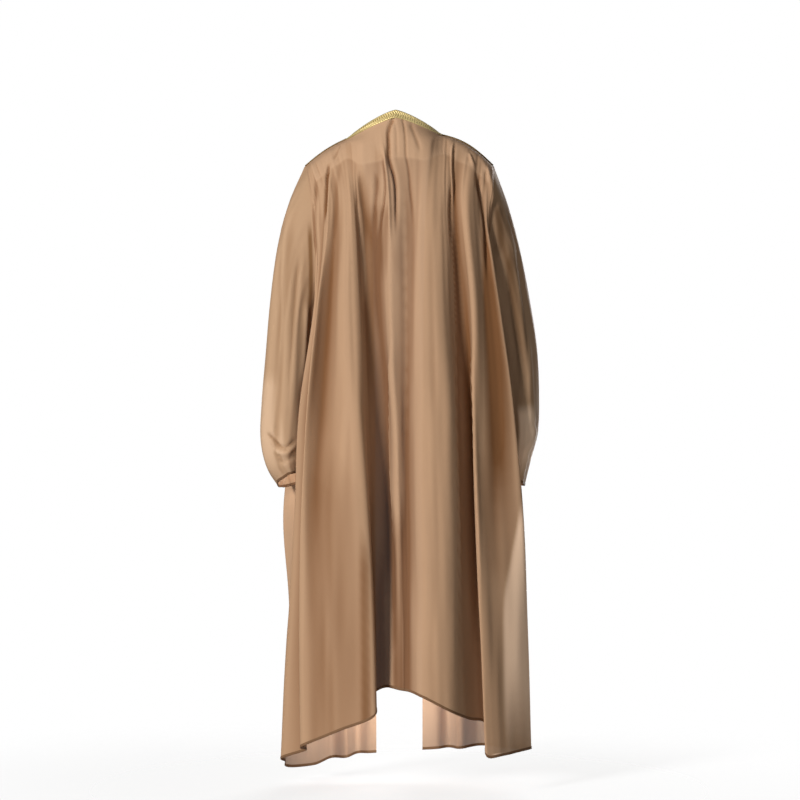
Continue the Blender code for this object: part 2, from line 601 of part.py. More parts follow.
def join_seams(sheets):
    """Turns the walls along seams to suit both sheets, and draws each sheet back from its seams."""
    shared = {}
    for sheet in sheets:
        sheet.rim_at = {}
        for edge in sheet.rim():
            for vertex in edge:
                sheet.rim_at.setdefault(vertex, []).append(edge)
        for vertex in sheet.rim_at:
            shared.setdefault(point_key(sheet.points[vertex]), []).append((sheet, vertex))
    seams = [members for members in shared.values() if len(members) > 1]
    changes = [change for members in seams for change in seam_changes(members, shared)]
    for sheet, vertex, normal, move in changes:
        sheet.normals[vertex] = normal
        sheet.points[vertex] += move


def seam_changes(members, shared):
    """The wall's normal and the draw-back of each sheet at one point of a seam."""
    sleeves = [member for member in members if member[0].closed]
    body = [member for member in members if not member[0].closed]
    if sleeves:
        leader, others = sleeves[0], body
    else:
        leader, others = body[0], body[1:]
    across = unit(inward(*leader) - unit(sum(inward(*member) for member in others)))
    sheet, vertex = leader
    normal = np.zeros(3)
    for a, b in sheet.rim_at[vertex]:
        if len(shared[point_key(sheet.points[a])]) > 1 and len(shared[point_key(sheet.points[b])]) > 1:
            normal += np.cross(unit(sheet.points[b] - sheet.points[a]), across)
    normal = unit(normal)
    # At a shoulder tip three sheets meet on a bulge, and all of them take the shared normal
    bulge = len(others) == 2 and min(part.normals[k] @ normal for part, k in members) > 0.25
    changes = [(*leader, wall_normal(leader, normal, across, bulge), across * SEAM_GAP / 2)]
    for member in others:
        move = -across * SEAM_GAP / 2
        if len(others) == 2:
            other = others[1] if member is others[0] else others[0]
            move += unit(inward(*member) - inward(*other)) * SEAM_GAP / 2
        changes.append((*member, wall_normal(member, normal, -across, bulge), move))
    return changes


def wall_normal(member, shared_normal, own_side, bulge):
    """The sheet's own normal where the seam is a valley, so that the walls part, or else the shared one."""
    sheet, vertex = member
    own = sheet.normals[vertex]
    valley = own @ own_side < -0.25 and not bulge
    return own if valley and not sheet.hem[vertex] else shared_normal


def inward(sheet, vertex):
    """The direction from a rim point into its sheet."""
    near = sheet.points[sheet.faces[(sheet.faces == vertex).any(axis=1)]].reshape(-1, 3)
    return unit(near.mean(axis=0) - sheet.points[vertex])


def unit(vector):
    return vector / np.linalg.norm(vector)


def rim_faces(a, b, count, points):
    """The two triangles across a wall's rim, cut the same way on both sides of a seam."""
    if (points[b] - points[a]) @ SEAM_DIAGONAL > 0:
        return [(b, a, a + count), (b, a + count, b + count)]
    return [(b, a, b + count), (a, a + count, b + count)]


def solid(name, points, faces, normals, outer, inner, colour):
    """A closed wall: the sheet moved out by outer and in by inner, joined round its rim."""
    outer_points = points + normals * np.reshape(outer, (-1, 1))
    inner_points = points - normals * np.reshape(inner, (-1, 1))
    count = len(points)
    front = [tuple(int(v) for v in face) for face in faces]
    edges = {(a, b) for face in front for a, b in zip(face, face[1:] + face[:1])}
    faces = front + [tuple(v + count for v in reversed(face)) for face in front]
    for a, b in edges:
        if (b, a) not in edges:
            faces += rim_faces(a, b, count, points)
    mesh = bpy.data.meshes.new(name)
    mesh.from_pydata([tuple(p) for p in [*outer_points, *inner_points]], [], faces)
    mesh.validate()
    mesh.shade_smooth()
    mesh.set_sharp_from_angle(angle=math.radians(50))
    mesh.materials.append(material(colour))
    made = bpy.data.objects.new(name, mesh)
    bpy.context.scene.collection.objects.link(made)
    return made


def material(slot):
    """The Principled material of one slot, made once."""
    found = bpy.data.materials.get(slot)
    if found:
        return found
    colour, roughness, metallic = COLOURS[slot]
    made = bpy.data.materials.new(slot)
    made.use_nodes = True
    shader = made.node_tree.nodes["Principled BSDF"]
    shader.inputs["Base Color"].default_value = colour
    shader.inputs["Roughness"].default_value = roughness
    shader.inputs["Metallic"].default_value = metallic
    made.diffuse_color = colour
    return made


def cloth_solid(sheet):
    extra = np.where(sheet.hem, HEM_WALL - WALL, 0.0)
    return solid(sheet.name, sheet.points, sheet.faces, sheet.normals, extra / 2, WALL + extra / 2, "cloth")


def patch(sheet, vertices):
    """The part of a sheet that these vertices span: its points, faces and normals."""
    place = {vertex: k for k, vertex in enumerate(vertices)}
    faces = [[place[v] for v in face] for face in sheet.faces.tolist() if all(v in place for v in face)]
    return sheet.points[vertices], np.array(faces), sheet.normals[vertices]


def braid_solid(name, sheet, vertices, edge_pairs):
    """A braid laid on a panel, lapping a little past the panel's edge."""
    points, faces, normals = patch(sheet, vertices)
    points = points.copy()
    place = {vertex: k for k, vertex in enumerate(vertices)}
    for edge_vertex, inner_vertex in edge_pairs:
        points[place[edge_vertex]] += unit(sheet.points[edge_vertex] - sheet.points[inner_vertex]) * BRAID_LAP
    return solid(name, points, faces, normals, SEAM_GAP + BRAID_WALL, -SEAM_GAP, "gold")


def neck_braid(back, grid):
    rows, columns = grid.shape[:2]
    neck = neck_columns()
    middle = [rows * columns + k for k in range(len(neck))]
    edge = [rows * columns + len(neck) + k for k in range(len(neck))]
    braid_solid("neck_braid", back, [*neck, *middle, *edge], list(zip(edge, middle)))


def front_braid(name, sheet, grid):
    """The braid down one front edge, from the shoulder seam to the waist."""
    rows, columns = grid.shape[:2]
    bottom = int(np.argmin(np.abs(grid[:, -1, 2] - BRAID_BOTTOM)))
    strip = [0, 1, 2] if sheet.name.endswith("left") else [columns - 1, columns - 2, columns - 3]
    vertices = [row * columns + column for row in range(bottom + 1) for column in strip]
    edge = [(row * columns + strip[0], row * columns + strip[1]) for row in range(bottom + 1)]
    braid_solid(name, sheet, vertices, edge)


def yoke(back, grid):
    """The facing inside the back, from the shoulder seams and the braid's foot down to the blades."""
    columns = grid.shape[1]
    shares = column_shares(BACK_FOLDS)
    first = next(k for k, fold in enumerate(BACK_FOLDS) if fold.seam == "shoulder_left")
    last = max(k for k, fold in enumerate(BACK_FOLDS) if fold.seam == "shoulder_right")
    across = [column for column, share in enumerate(shares) if first + 0.6 <= share <= last - 0.6]
    vertices = [row * columns + column for row in range(len(TOP_ROWS)) for column in across]
    points, faces, normals = patch(back, vertices)
    inside = WALL + SEAM_GAP
    solid("yoke_facing", points, faces, normals, -inside, inside + YOKE_WALL, "yoke")


def piping(side, back, grid):
    """The gold cord on a shoulder seam, from the braid to the shoulder tip."""
    shares = column_shares(BACK_FOLDS)
    seam = [k for k, fold in enumerate(BACK_FOLDS) if fold.seam == f"shoulder_{side}"]
    neck_end = seam[-1] + 1 if side == "left" else seam[0] - 1
    low, high = sorted([neck_end, seam[0] if side == "left" else seam[-1]])
    columns = [column for column, share in enumerate(shares) if low <= share <= high]
    if side == "right":
        columns = columns[::-1]
    lift = PIPING_RADIUS + SEAM_GAP
    centres = np.array([back.points[c] + back.normals[c] * lift for c in columns])
    # Its ends stop just short of the shoulder tip and of the braid
    centres = along(centres, shares=np.linspace(0.02, 0.99, 9))[0]
    rings = []
    for k, centre in enumerate(centres):
        ahead = centres[min(k + 1, len(centres) - 1)] - centres[max(k - 1, 0)]
        ahead /= np.linalg.norm(ahead)
        aside = np.cross(ahead, (0.0, 1.0, 0.0))
        aside /= np.linalg.norm(aside)
        upward = np.cross(ahead, aside)
        turns = [math.tau * n / PIPING_SIDES for n in range(PIPING_SIDES)]
        rings.append([centre + PIPING_RADIUS * (math.cos(a) * aside + math.sin(a) * upward) for a in turns])
    tube(f"shoulder_piping_{side}", rings, "gold")


def tube(name, rings, colour):
    """A closed tube through rings of points, with flat ends."""
    sides = len(rings[0])
    points = [tuple(p) for ring in rings for p in ring]
    faces = []
    for k in range(len(rings) - 1):
        for n in range(sides):
            after = (n + 1) % sides
            faces.append((k * sides + n, k * sides + after, (k + 1) * sides + after, (k + 1) * sides + n))
    faces.append(tuple(reversed(range(sides))))
    faces.append(tuple((len(rings) - 1) * sides + n for n in range(sides)))
    mesh = bpy.data.meshes.new(name)
    mesh.from_pydata(points, [], faces)
    mesh.validate()
    mesh.shade_smooth()
    mesh.materials.append(material(colour))
    made = bpy.data.objects.new(name, mesh)
    bpy.context.scene.collection.objects.link(made)
    return made


def build():
    for old in list(bpy.data.objects):
        bpy.data.objects.remove(old)
    back_grid = panel_grid(BACK_FOLDS, "back")
    left_grid = panel_grid(FRONT_LEFT_FOLDS, "front")
    right_grid = panel_grid(FRONT_RIGHT_FOLDS, "front")
    left_loop = armhole_loop("left", back_grid, left_grid)
    right_loop = armhole_loop("right", back_grid, right_grid)

    back = back_sheet(back_grid)
    front_left = grid_sheet("front_left", left_grid[:, ::-1])
    front_right = grid_sheet("front_right", right_grid)
    sleeve_left = grid_sheet("sleeve_left", sleeve_grid("left", left_loop)[:, ::-1], closed=True)
    sleeve_right = grid_sheet("sleeve_right", sleeve_grid("right", right_loop), closed=True)
    for sheet, grid in ((front_left, left_grid), (front_right, right_grid)):
        columns = grid.shape[1]
        mark_hem(sheet, (grid.shape[0] - 2) * columns, grid.shape[0] * columns)
    for sheet, loop in ((sleeve_left, left_loop), (sleeve_right, right_loop)):
        mark_hem(sheet, len(sheet.points) - 2 * len(loop), len(sheet.points))

    sheets = [back, front_left, front_right, sleeve_left, sleeve_right]
    join_seams(sheets)
    for sheet in sheets:
        cloth_solid(sheet)
    neck_braid(back, back_grid)
    front_braid("front_braid_left", front_left, left_grid)
    front_braid("front_braid_right", front_right, right_grid)
    yoke(back, back_grid)
    piping("left", back, back_grid)
    piping("right", back, back_grid)


build()
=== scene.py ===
"""Looks of the open-front cloak (bisht): sheer draped cloth, gold braid, turned hems and studio light.

Metres, in the frame of the CAD part: +Z up, +X to the wearer's left, -Y to the front. The tables of folds,
armholes, sleeves, creases and shades are in millimetres. The cloth pieces repeat the fold tables of the
part's source at a finer step and add the narrow creases.
"""

import math
from collections import namedtuple
from functools import cache

import bpy
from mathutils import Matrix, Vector
import numpy as np


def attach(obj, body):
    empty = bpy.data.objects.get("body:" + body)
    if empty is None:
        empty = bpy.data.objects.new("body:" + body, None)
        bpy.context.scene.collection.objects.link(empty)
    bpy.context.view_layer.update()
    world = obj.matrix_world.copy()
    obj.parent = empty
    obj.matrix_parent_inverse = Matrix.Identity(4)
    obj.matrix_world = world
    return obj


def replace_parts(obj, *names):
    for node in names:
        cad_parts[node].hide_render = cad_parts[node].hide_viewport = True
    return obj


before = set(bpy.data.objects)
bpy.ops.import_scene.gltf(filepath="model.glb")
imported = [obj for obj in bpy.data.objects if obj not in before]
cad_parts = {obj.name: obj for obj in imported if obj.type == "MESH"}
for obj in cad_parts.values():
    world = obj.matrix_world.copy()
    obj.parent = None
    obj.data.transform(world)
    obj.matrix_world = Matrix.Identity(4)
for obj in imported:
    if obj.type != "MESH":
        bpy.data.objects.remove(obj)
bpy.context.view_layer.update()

MM = 1000.0

# Driving dimensions, as in the part's source
WALL = 0.002
HEM_DEPTH = 0.012
BRAID_WIDTH = 0.020
BRAID_LAP = 0.0015
BRAID_BOTTOM = -0.66
TOP_ROWS = (0.0, 0.030, 0.062, 0.098)
ROWS_TO_UNDERARM = 7
ROWS_TO_HEM = 10
SLEEVE_ROWS = 14
LEVELS = (-0.20, -0.45, -0.70, -0.95, -1.20)
SHOULDER_ROLL = 0.052
SHOULDER_ROLL_DROP = 0.016
SIDE_SAG = 0.020

# Finer steps than the solids have
ROW_SPLIT = 8
COLUMN_SPLIT = 8
SLEEVE_ROW_SPLIT = 9
CURVE_STEPS = 18
ROUNDING_PACE = 0.001
FOLD_ROUNDING = 0.0065
ROUNDING_REACH = 4
LINE_PROBES = 400

NECK_APEX = (0.008, 0.016)
NECK_BACK = 0.002
NECK_REACH = {"left": 0.105, "right": 0.097}
NECK_DROP = {"left": 0.053, "right": 0.043}
NECK_DEPTH = 0.070
NECK_SLOPE = 1.3
NECK_END = {"left": 0.0, "right": 1.0}
DOWN_BACK = (0.0, 0.36, -0.93)
BACK_FALL = (0.0, 0.024, -0.050)
START_LEAN = 0.25
SHOULDER_TIP = {"left": (0.229, -0.003, -0.114), "right": (-0.230, -0.003, -0.113)}
SHOULDER_RISE = {"left": 0.006, "right": 0.014}
UNDERARM = {"left": (0.160, 0.0, -0.500), "right": (-0.164, 0.0, -0.500)}

# Where the cloth sags in under the arm: the height at which that starts and ends, and over what height
SAG_START = (0.09, 0.12)
SAG_END = (1.25, 0.30)

# Each half of an armhole, from the shoulder tip down to the underarm
ARMHOLES = {
    "left_back": ((219, 45, -140), (212, 74, -200), (204, 84, -300), (189, 70, -400), (172, 42, -474)),
    "left_front": ((219, -48, -140), (212, -78, -200), (204, -88, -300), (189, -74, -400), (172, -45, -474)),
    "right_back": ((-228, 42, -142), (-224, 62, -205), (-215, 70, -300), (-197, 62, -400), (-177, 38, -474)),
    "right_front": ((-222, -48, -142), (-216, -78, -200), (-208, -88, -300), (-193, -74, -400),
                    (-176, -45, -474)),
}

# A fold line: its name, the seam it leaves and how far along, (x, y) at each of the last levels, (x, y, z) at
# the hem, and the grid columns from it to the next line
Fold = namedtuple("Fold", "name seam at places hem columns")

LEFT_SIDE = ("side_left", "armhole_left", 0.0,
             ((158, 0), (188, -12), (240, -20)), (276, -16, -1552), 4)
RIGHT_SIDE = ("side_right", "armhole_right", 0.0,
              ((-162, 0), (-200, -8), (-262, -18)), (-306, -20, -1525), 4)

BACK_FOLDS = tuple(map(Fold._make, (
    LEFT_SIDE,
    ("side_ridge_left", "shoulder_left", 0.08,
     ((199, 90), (206, 104), (240, 102), (252, 82), (268, 54)), (284, 30, -1540), 3),
    ("arm_trough_left", "shoulder_left", 0.16,
     ((183, 92), (190, 108), (208, 110), (214, 100), (220, 94)), (222, 96, -1512), 3),
    ("arm_edge_left", "shoulder_left", 0.28,
     ((168, 108), (196, 136), (221, 150), (234, 160), (236, 166)), (232, 168, -1496), 3),
    ("blade_trough_left", "shoulder_left", 0.48,
     ((152, 106), (163, 114), (183, 124), (197, 156), (192, 184)), (190, 190, -1476), 3),
    ("blade_ridge_left", "shoulder_left", 0.72,
     ((128, 124), (131, 156), (128, 176), (138, 196), (140, 208)), (138, 216, -1452), 3),
    ("centre_edge_left", "neck", 0.0,
     ((110, 127), (100, 156), (90, 182), (74, 206), (60, 222)), (54, 236, -1414), 3),
    ("centre_trough_left", "neck", 0.22,
     ((94, 114), (75, 122), (66, 126), (64, 134), (64, 152)), (62, 164, -1372), 2),
    ("centre_trough_right", "neck", 0.34,
     ((50, 120), (42, 118), (26, 112), (24, 122), (30, 148)), (34, 166, -1355), 3),
    ("centre_pleat", "neck", 0.42,
     ((26, 136), (21, 156), (10, 162), (4, 172), (-3, 188)), (-4, 200, -1359), 3),
    ("centre_hollow", "neck", 0.56,
     ((-27, 124), (-22, 142), (-18, 146), (-18, 160), (-20, 184)), (-20, 200, -1361), 3),
    ("broad_ridge_inner", "neck", 0.76,
     ((-56, 137), (-52, 166), (-54, 186), (-54, 206), (-56, 222)), (-58, 236, -1374), 3),
    ("broad_ridge_outer", "neck", 1.0,
     ((-100, 126), (-102, 158), (-108, 180), (-112, 200), (-117, 214)), (-122, 224, -1408), 3),
    ("dark_trough_inner", "shoulder_right", 0.8,
     ((-118, 112), (-126, 120), (-144, 122), (-154, 132), (-162, 144)), (-170, 154, -1433), 3),
    ("dark_trough_outer", "shoulder_right", 0.6,
     ((-136, 106), (-158, 106), (-178, 98), (-185, 106), (-196, 116)), (-206, 122, -1444), 3),
    ("right_edge", "shoulder_right", 0.4,
     ((-162, 116), (-176, 138), (-175, 152), (-182, 162), (-192, 166)), (-206, 166, -1520), 3),
    ("blade_trough_right", "shoulder_right", 0.26,
     ((-190, 92), (-209, 108), (-226, 116), (-232, 126), (-238, 134)), (-244, 140, -1520), 3),
    ("arm_edge_right", "shoulder_right", 0.12,
     ((-210, 80), (-244, 102), (-278, 106), (-300, 98), (-309, 70)), (-316, 44, -1515), 3),
    ("arm_trough_right", "shoulder_right", 0.05,
     ((-217, 74), (-216, 78), (-222, 78), (-244, 56), (-290, 32)), (-318, 12, -1518), 4),
    RIGHT_SIDE,
)))

FRONT_LEFT_FOLDS = tuple(map(Fold._make, (
    LEFT_SIDE,
    ("front_lobe_left", "shoulder_left", 0.08,
     ((204, -94), (210, -118), (250, -124), (286, -106), (270, -92)), (272, -82, -1574), 3),
    ("front_side_trough_left", "shoulder_left", 0.16,
     ((190, -102), (194, -124), (208, -130), (222, -128), (214, -118)), (210, -120, -1574), 3),
    ("front_outer_ridge_left", "shoulder_left", 0.28,
     ((174, -114), (178, -150), (184, -170), (180, -186), (172, -196)), (166, -204, -1566), 3),
    ("front_trough_left", "shoulder_left", 0.48,
     ((150, -110), (156, -132), (148, -142), (142, -146), (134, -148)), (130, -152, -1560), 3),
    ("front_inner_ridge_left", "shoulder_left", 0.72,
     ((122, -122), (122, -158), (116, -182), (110, -198), (106, -208)), (102, -216, -1556), 3),
    ("braid_line_left", "shoulder_left", 1.0,
     ((92, -124), (83, -152), (79, -164), (78, -170), (77, -176)), (76, -182, -1552), 2),
    ("front_edge_left", "neck_point_left", 0.0,
     ((72, -125), (63, -155), (59, -163), (58, -166), (57, -170)), (56, -175, -1550), 0),
)))

FRONT_RIGHT_FOLDS = tuple(map(Fold._make, (
    RIGHT_SIDE,
    ("front_lobe_right", "shoulder_right", 0.05,
     ((-208, -94), (-212, -118), (-250, -124), (-290, -106), (-302, -88)), (-304, -80, -1531), 3),
    ("front_side_trough_right", "shoulder_right", 0.12,
     ((-193, -102), (-196, -124), (-208, -130), (-226, -132), (-240, -122)), (-246, -124, -1530), 3),
    ("front_outer_ridge_right", "shoulder_right", 0.26,
     ((-176, -114), (-178, -150), (-188, -174), (-192, -190), (-196, -198)), (-198, -206, -1536), 3),
    ("front_trough_right", "shoulder_right", 0.4,
     ((-150, -108), (-154, -134), (-150, -140), (-150, -146), (-152, -150)), (-152, -154, -1538), 3),
    ("front_inner_ridge_right", "shoulder_right", 0.6,
     ((-126, -124), (-124, -164), (-122, -188), (-122, -200), (-122, -210)), (-122, -218, -1542), 3),
    ("front_chest_right", "shoulder_right", 0.8,
     ((-104, -122), (-98, -150), (-96, -164), (-96, -172), (-96, -180)), (-95, -186, -1542), 3),
    ("braid_line_right", "shoulder_right", 1.0,
     ((-86, -124), (-80, -154), (-77, -166), (-77, -172), (-78, -178)), (-78, -184, -1543), 2),
    ("front_edge_right", "neck_point_right", 0.0,
     ((-66, -125), (-60, -156), (-57, -164), (-57, -168), (-58, -172)), (-58, -178, -1543), 0),
)))

# A sleeve section: its name, outer and inner (x, z) as seen from behind, how far it reaches back and forward
# of the arm, and how much its rear edge is lifted
Section = namedtuple("Section", "name outer inner back front lift")
SLEEVES = {
    "left": (
        ("cap", (266, -200), (170, -512), 84, 78, 0),
        ("upper_arm", (292, -305), (184, -545), 84, 78, 0),
        ("mid_arm", (308, -425), (192, -592), 80, 79, 0),
        ("elbow", (320, -560), (197, -655), 73, 79, 0),
        ("forearm", (330, -685), (201, -730), 68, 78, 0),
        ("wrist", (332, -778), (206, -800), 63, 74, 4),
        ("drop", (317, -845), (216, -842), 56, 66, 12),
        ("cuff", (291, -886), (226, -866), 48, 58, 22),
    ),
    "right": (
        ("cap", (-262, -205), (-174, -512), 70, 78, 0),
        ("upper_arm", (-291, -310), (-187, -545), 70, 78, 0),
        ("mid_arm", (-314, -425), (-195, -592), 68, 79, 0),
        ("elbow", (-333, -550), (-200, -655), 64, 79, 0),
        ("forearm", (-338, -665), (-204, -730), 60, 78, 0),
        ("wrist", (-335, -757), (-210, -795), 56, 74, 0),
        ("drop", (-318, -822), (-222, -838), 50, 66, 4),
        ("cuff", (-303, -884), (-242, -872), 42, 58, 8),
    ),
}
ARM_CENTRE_Y = -0.006
SLEEVE_PINCH = 0.26
FRONT_LIFT = 0.4

# Over how many sections the sleeve turns from the armhole's own shape to an even one
SQUARE_SECTIONS = 4

# Long soft folds down a sleeve: place round it in degrees from the outer side through the back, height of the
# ridge (troughs are negative), and half-width in degrees
SleeveFold = namedtuple("SleeveFold", "angle height half_width")
SLEEVE_FOLDS = {
    "left": (SleeveFold(28, 6, 20), SleeveFold(62, -6, 16), SleeveFold(95, 4, 16),
             SleeveFold(-35, -6, 20), SleeveFold(-75, 8, 20), SleeveFold(-115, -6, 18)),
    "right": (SleeveFold(24, -3, 16), SleeveFold(52, 3, 16), SleeveFold(84, -6, 18),
              SleeveFold(-30, 7, 20), SleeveFold(-68, -7, 18), SleeveFold(-108, 6, 18)),
}
# The folds grow over this share of the sleeve's length, and lose this much from that share to the cuff
SLEEVE_FOLD_GROWTH = 0.35
SLEEVE_FOLD_LOSS = 0.4
SLEEVE_FOLD_LOSS_START = 0.8

# Which creases start at a seam at full depth, and how the others fade in and out along their length
FROM_SEAM = ("gather_trough", "gather_second", "gather_third", "gather_fourth")
CREASE_FADE = (0.18, 0.40)
CREASE_STEPS = 90
CREASE_REACH = 3.2
FACING_FADE = 0.5

# A sleeve's creases run round to its front, that much further out and that much shallower
FRONT_SHIFT = 0.012
FRONT_SHARE = 0.8

# Slow waves between the folds: how far each may lean and drift, and the margins at the top and the sides
# over which they start
RIPPLE_HEIGHT = 0.0004
RIPPLE_LENGTHS = (0.085, 0.052, 0.034, 0.021)
RIPPLE_LEAN = 0.12
RIPPLE_SWELL = (0.35, 0.7)
RIPPLE_DRIFT = 0.6
RIPPLE_MARGINS = (0.08, 0.05)
ONE_TURN = 6.28
RIPPLE_SEEDS = {"back": 3, "front_left": 5, "front_right": 7, "sleeve_left": 11, "sleeve_right": 13}

HEM_THICKNESS = 0.0016
HEM_SHARE = 0.50
HEM_ROWS = 7
STRIP_ROWS = 5
YOKE_GAP = 0.0006
YOKE_INSET = 0.6

# The braid's threads, and the cord on the shoulder seams
BRAID_COLUMNS = 27
BRAID_PACE = 0.0009
BRAID_STEPS = 320
BRAID_BASE = 0.0006
BRAID_RIB = 0.0010
BRAID_CORD = 0.0008
BRAID_EDGE = 0.0001

# Painted light on the braid's right half, turned from the key light: past a share of the neckline, over a
# share of it, the painted shade in its gaps is this much less
GAP_PAINTED_LIGHT = 0.75
GAP_PAINTED_LIGHT_START = 0.45
GAP_PAINTED_LIGHT_RISE = 0.2

# Its threads lie in chevrons on either side of a rib down its middle, between a twisted cord on each edge;
# places and widths are shares of the braid's width
CHEVRON_STEP = 0.0060
CHEVRON_LEAN = 0.012
CHEVRON_HALF = 0.36
CENTRE_WIDTH = 0.05
CENTRE_RISE = 1.1
CORD_PLACES = (0.09, 0.91)
CORD_WIDTH = 0.055
CORD_TWIST = 0.003
PIPING_RADIUS = 0.0018
PIPING_SIDES = 12
PIPING_STEPS = 260
PIPING_TWIST = 0.006
PIPING_SPAN = (0.02, 1.03)
PIPING_BACK = 0.0012
PIPING_RISE = 0.0009

# A narrow crease: its path as x, z, x, z and so on from above down, its height (below 0 for a trough), and
# its half-widths to the left (+X) and the right of the path as seen from behind. A painted shade has a share
# of the deep dye in place of the height, and painted light has one below 0.
Crease = namedtuple("Crease", "name path height left right")

# The dye of each kind of cloth, warm and cool on a flat stretch, deep for the painted shade in its folds and
# pale for its painted light, as in a single layer, and then its sheen and opacity
Look = namedtuple("Look", "warm cool deep pale sheen alpha")
CLOTH_LOOKS = {
    "back": Look((0.485, 0.295, 0.172), (0.450, 0.276, 0.164), (0.195, 0.086, 0.034), (1.00, 0.70, 0.48),
                 0.02, 0.985),
    "front": Look((0.490, 0.305, 0.185), (0.455, 0.285, 0.170), (0.250, 0.125, 0.060), (0.88, 0.60, 0.40),
                  0.02, 0.92),
    "sleeve": Look((0.510, 0.325, 0.195), (0.475, 0.300, 0.178), (0.215, 0.108, 0.045), (0.95, 0.68, 0.47),
                   0.03, 0.975),
    # The right sleeve's copy of the sleeve dye, darker and with a deeper deep: painted shade, as it is turned
    # from the key light
    "sleeve_right": Look((0.480, 0.300, 0.178), (0.450, 0.280, 0.164), (0.115, 0.058, 0.025),
                         (1.00, 0.72, 0.50), 0.03, 0.975),
    "yoke": Look((0.455, 0.290, 0.175), (0.430, 0.275, 0.165), (0.200, 0.100, 0.055), (0.56, 0.43, 0.29),
                 0.10, 0.93),
    "hem": Look((0.215, 0.115, 0.060), (0.190, 0.105, 0.055), (0.110, 0.055, 0.030), (0.30, 0.18, 0.10),
                0.05, 0.97),
}
THREADS_SCALE = 300.0
# Gold thread: bright and mid on the threads, and the colour of the painted shade in their gaps
GoldLook = namedtuple("GoldLook", "bright mid shade")
GOLD_LOOKS = {
    "braid": GoldLook((1.00, 0.82, 0.42), (0.84, 0.65, 0.27), (0.38, 0.27, 0.085)),
    "cord": GoldLook((0.36, 0.24, 0.08), (0.20, 0.12, 0.045), (0.06, 0.035, 0.015)),
}

# How far along its row a point is compared with, and the depth that adds the full painted shade in a fold
BROAD_REACH = 0.034
BROAD_DEPTH = 0.016
FINE_REACH = 0.009
FINE_DEPTH = 0.0050
# Painted shade over all the cloth, what the yoke takes off it, the painted light it may leave there, and the
# share of it on the fronts
PAINTED_SHADE_LEVEL = 0.22
YOKE_SHADE_CUT = 0.34
YOKE_PAINTED_LIGHT = -0.08
FRONT_PAINTED_SHADE_SHARE = 0.6
SEAM_REACH = 0.020
SHADE_EDGE = 3
PAINTED_LIGHT_EDGE = 10

# Painted shade (above 0) and painted light (below 0) on stretches of the cloth, over the painted shade of its
# folds
BACK_PAINTED_SHADES = (
    ("gather_shade", (38, -200, 36, -290, 26, -340, 20, -420), 0.45, 26, 22),
    ("gather_line_shade", (26, -40, 25, -80, 20, -115, 12, -146, 7, -200), 0.35, 4, 5),
    ("left_crease_shade", (166, -100, 172, -145, 175, -205, 177, -270), 0.6, 4, 5),
    ("upper_valley_shade", (70, -200, 62, -300, 56, -420, 52, -560), 0.3, 12, 14),
    ("left_valley_shade", (46, -980, 44, -1120, 40, -1300, 38, -1700), 0.36, 16, 14),
    ("arm_line_shade", (206, -270, 205, -360, 207, -440, 210, -530), 0.7, 4, 4),
    ("left_flank_light", (98, -200, 90, -290, 85, -360, 82, -480), -0.9, 5, 6),
    ("centre_light", (-10, -120, -11, -200, -13, -300, -15, -500, -16, -900), -0.45, 7, 6),
    ("valley_edge_light", (28, -1050, 26, -1180, 24, -1320, 22, -1600), -0.35, 8, 8),
    ("valley_rim_shade", (9, -860, 7, -1050, 4, -1250, 2, -1700), 1.0, 12, 26),
    ("left_lobe_shade", (170, -760, 165, -950, 160, -1200, 155, -1700), 0.34, 80, 70),
    ("left_lobe_edge_shade", (80, -950, 78, -1150, 76, -1350, 74, -1700), 0.8, 14, 12),
    ("blade_light", (-80, -10, -90, -60, -96, -130, -104, -260), -0.6, 24, 14),
    ("flank_light", (-106, -130, -112, -280, -114, -800, -118, -1100, -132, -1600), -0.7, 20, 11),
    ("right_ridge_light", (-140, -240, -150, -500, -160, -1000), -0.12, 12, 12),
    ("right_edge_light", (-180, -190, -188, -300, -191, -420, -193, -640, -198, -900), -0.85, 8, 9),
    ("right_shade", (-206, -180, -224, -380, -236, -600, -236, -900, -234, -1050), 0.85, 26, 34),
    ("lobe_light", (-214, -1050, -220, -1300, -240, -1440, -270, -1540), -0.3, 30, 40),
)
SLEEVE_PAINTED_SHADES = {
    "left": (
        ("dark_patch", (253, -770, 252, -800, 250, -850), 0.35, 6, 8),
        ("arm_shade", (262, -240, 258, -400, 254, -620), 0.18, 14, 14),
        ("arm_line_shade", (214, -240, 210, -360, 212, -440, 222, -550), 0.9, 6, 5),
        ("armhole_light", (210, -440, 215, -500, 226, -600, 240, -700, 246, -800), -0.6, 10, 8),
    ),
    "right": (
        ("rear_shade", (-240, -200, -282, -400, -296, -540, -302, -680), 0.2, 50, 50),
        ("trough_light", (-236, -300, -247, -389, -262, -485, -276, -581, -280, -677, -287, -790), -0.95,
         10, 10),
        ("ridge_shade", (-256, -280, -271, -389, -288, -485, -300, -581, -305, -700), 0.75, 12, 12),
        ("outer_light", (-266, -230, -288, -340, -311, -485, -326, -600, -332, -700), -0.7, 9, 16),
        ("upper_shade", (-236, -200, -243, -270, -250, -350), 0.6, 10, 10),
    ),
}

# Painted light (below 0), paler than a bare ridge: where the cloth lies single against the light behind it,
# at a hem corner, on the right cuff, and as a painted highlight on the left sleeve's bulge
BACK_PAINTED_LIGHT = (
    ("single_layer", (-344, -860, -324, -965, -305, -1060, -290, -1157, -288, -1280, -290, -1400,
     -294, -1600), -1.1, 40, 80),
    ("hem_corner_light", (-217, -1521, -235, -1521, -300, -1523), -0.9, 8, 8),
)
SLEEVE_PAINTED_LIGHT = {
    "left": (
        ("bright_bulge", (322, -600, 316, -720, 306, -800, 290, -900), -0.28, 34, 34),
    ),
    "right": (
        ("pale_patch", (-300, -680, -306, -745, -304, -800, -296, -880), -1.0, 18, 24),
    ),
}

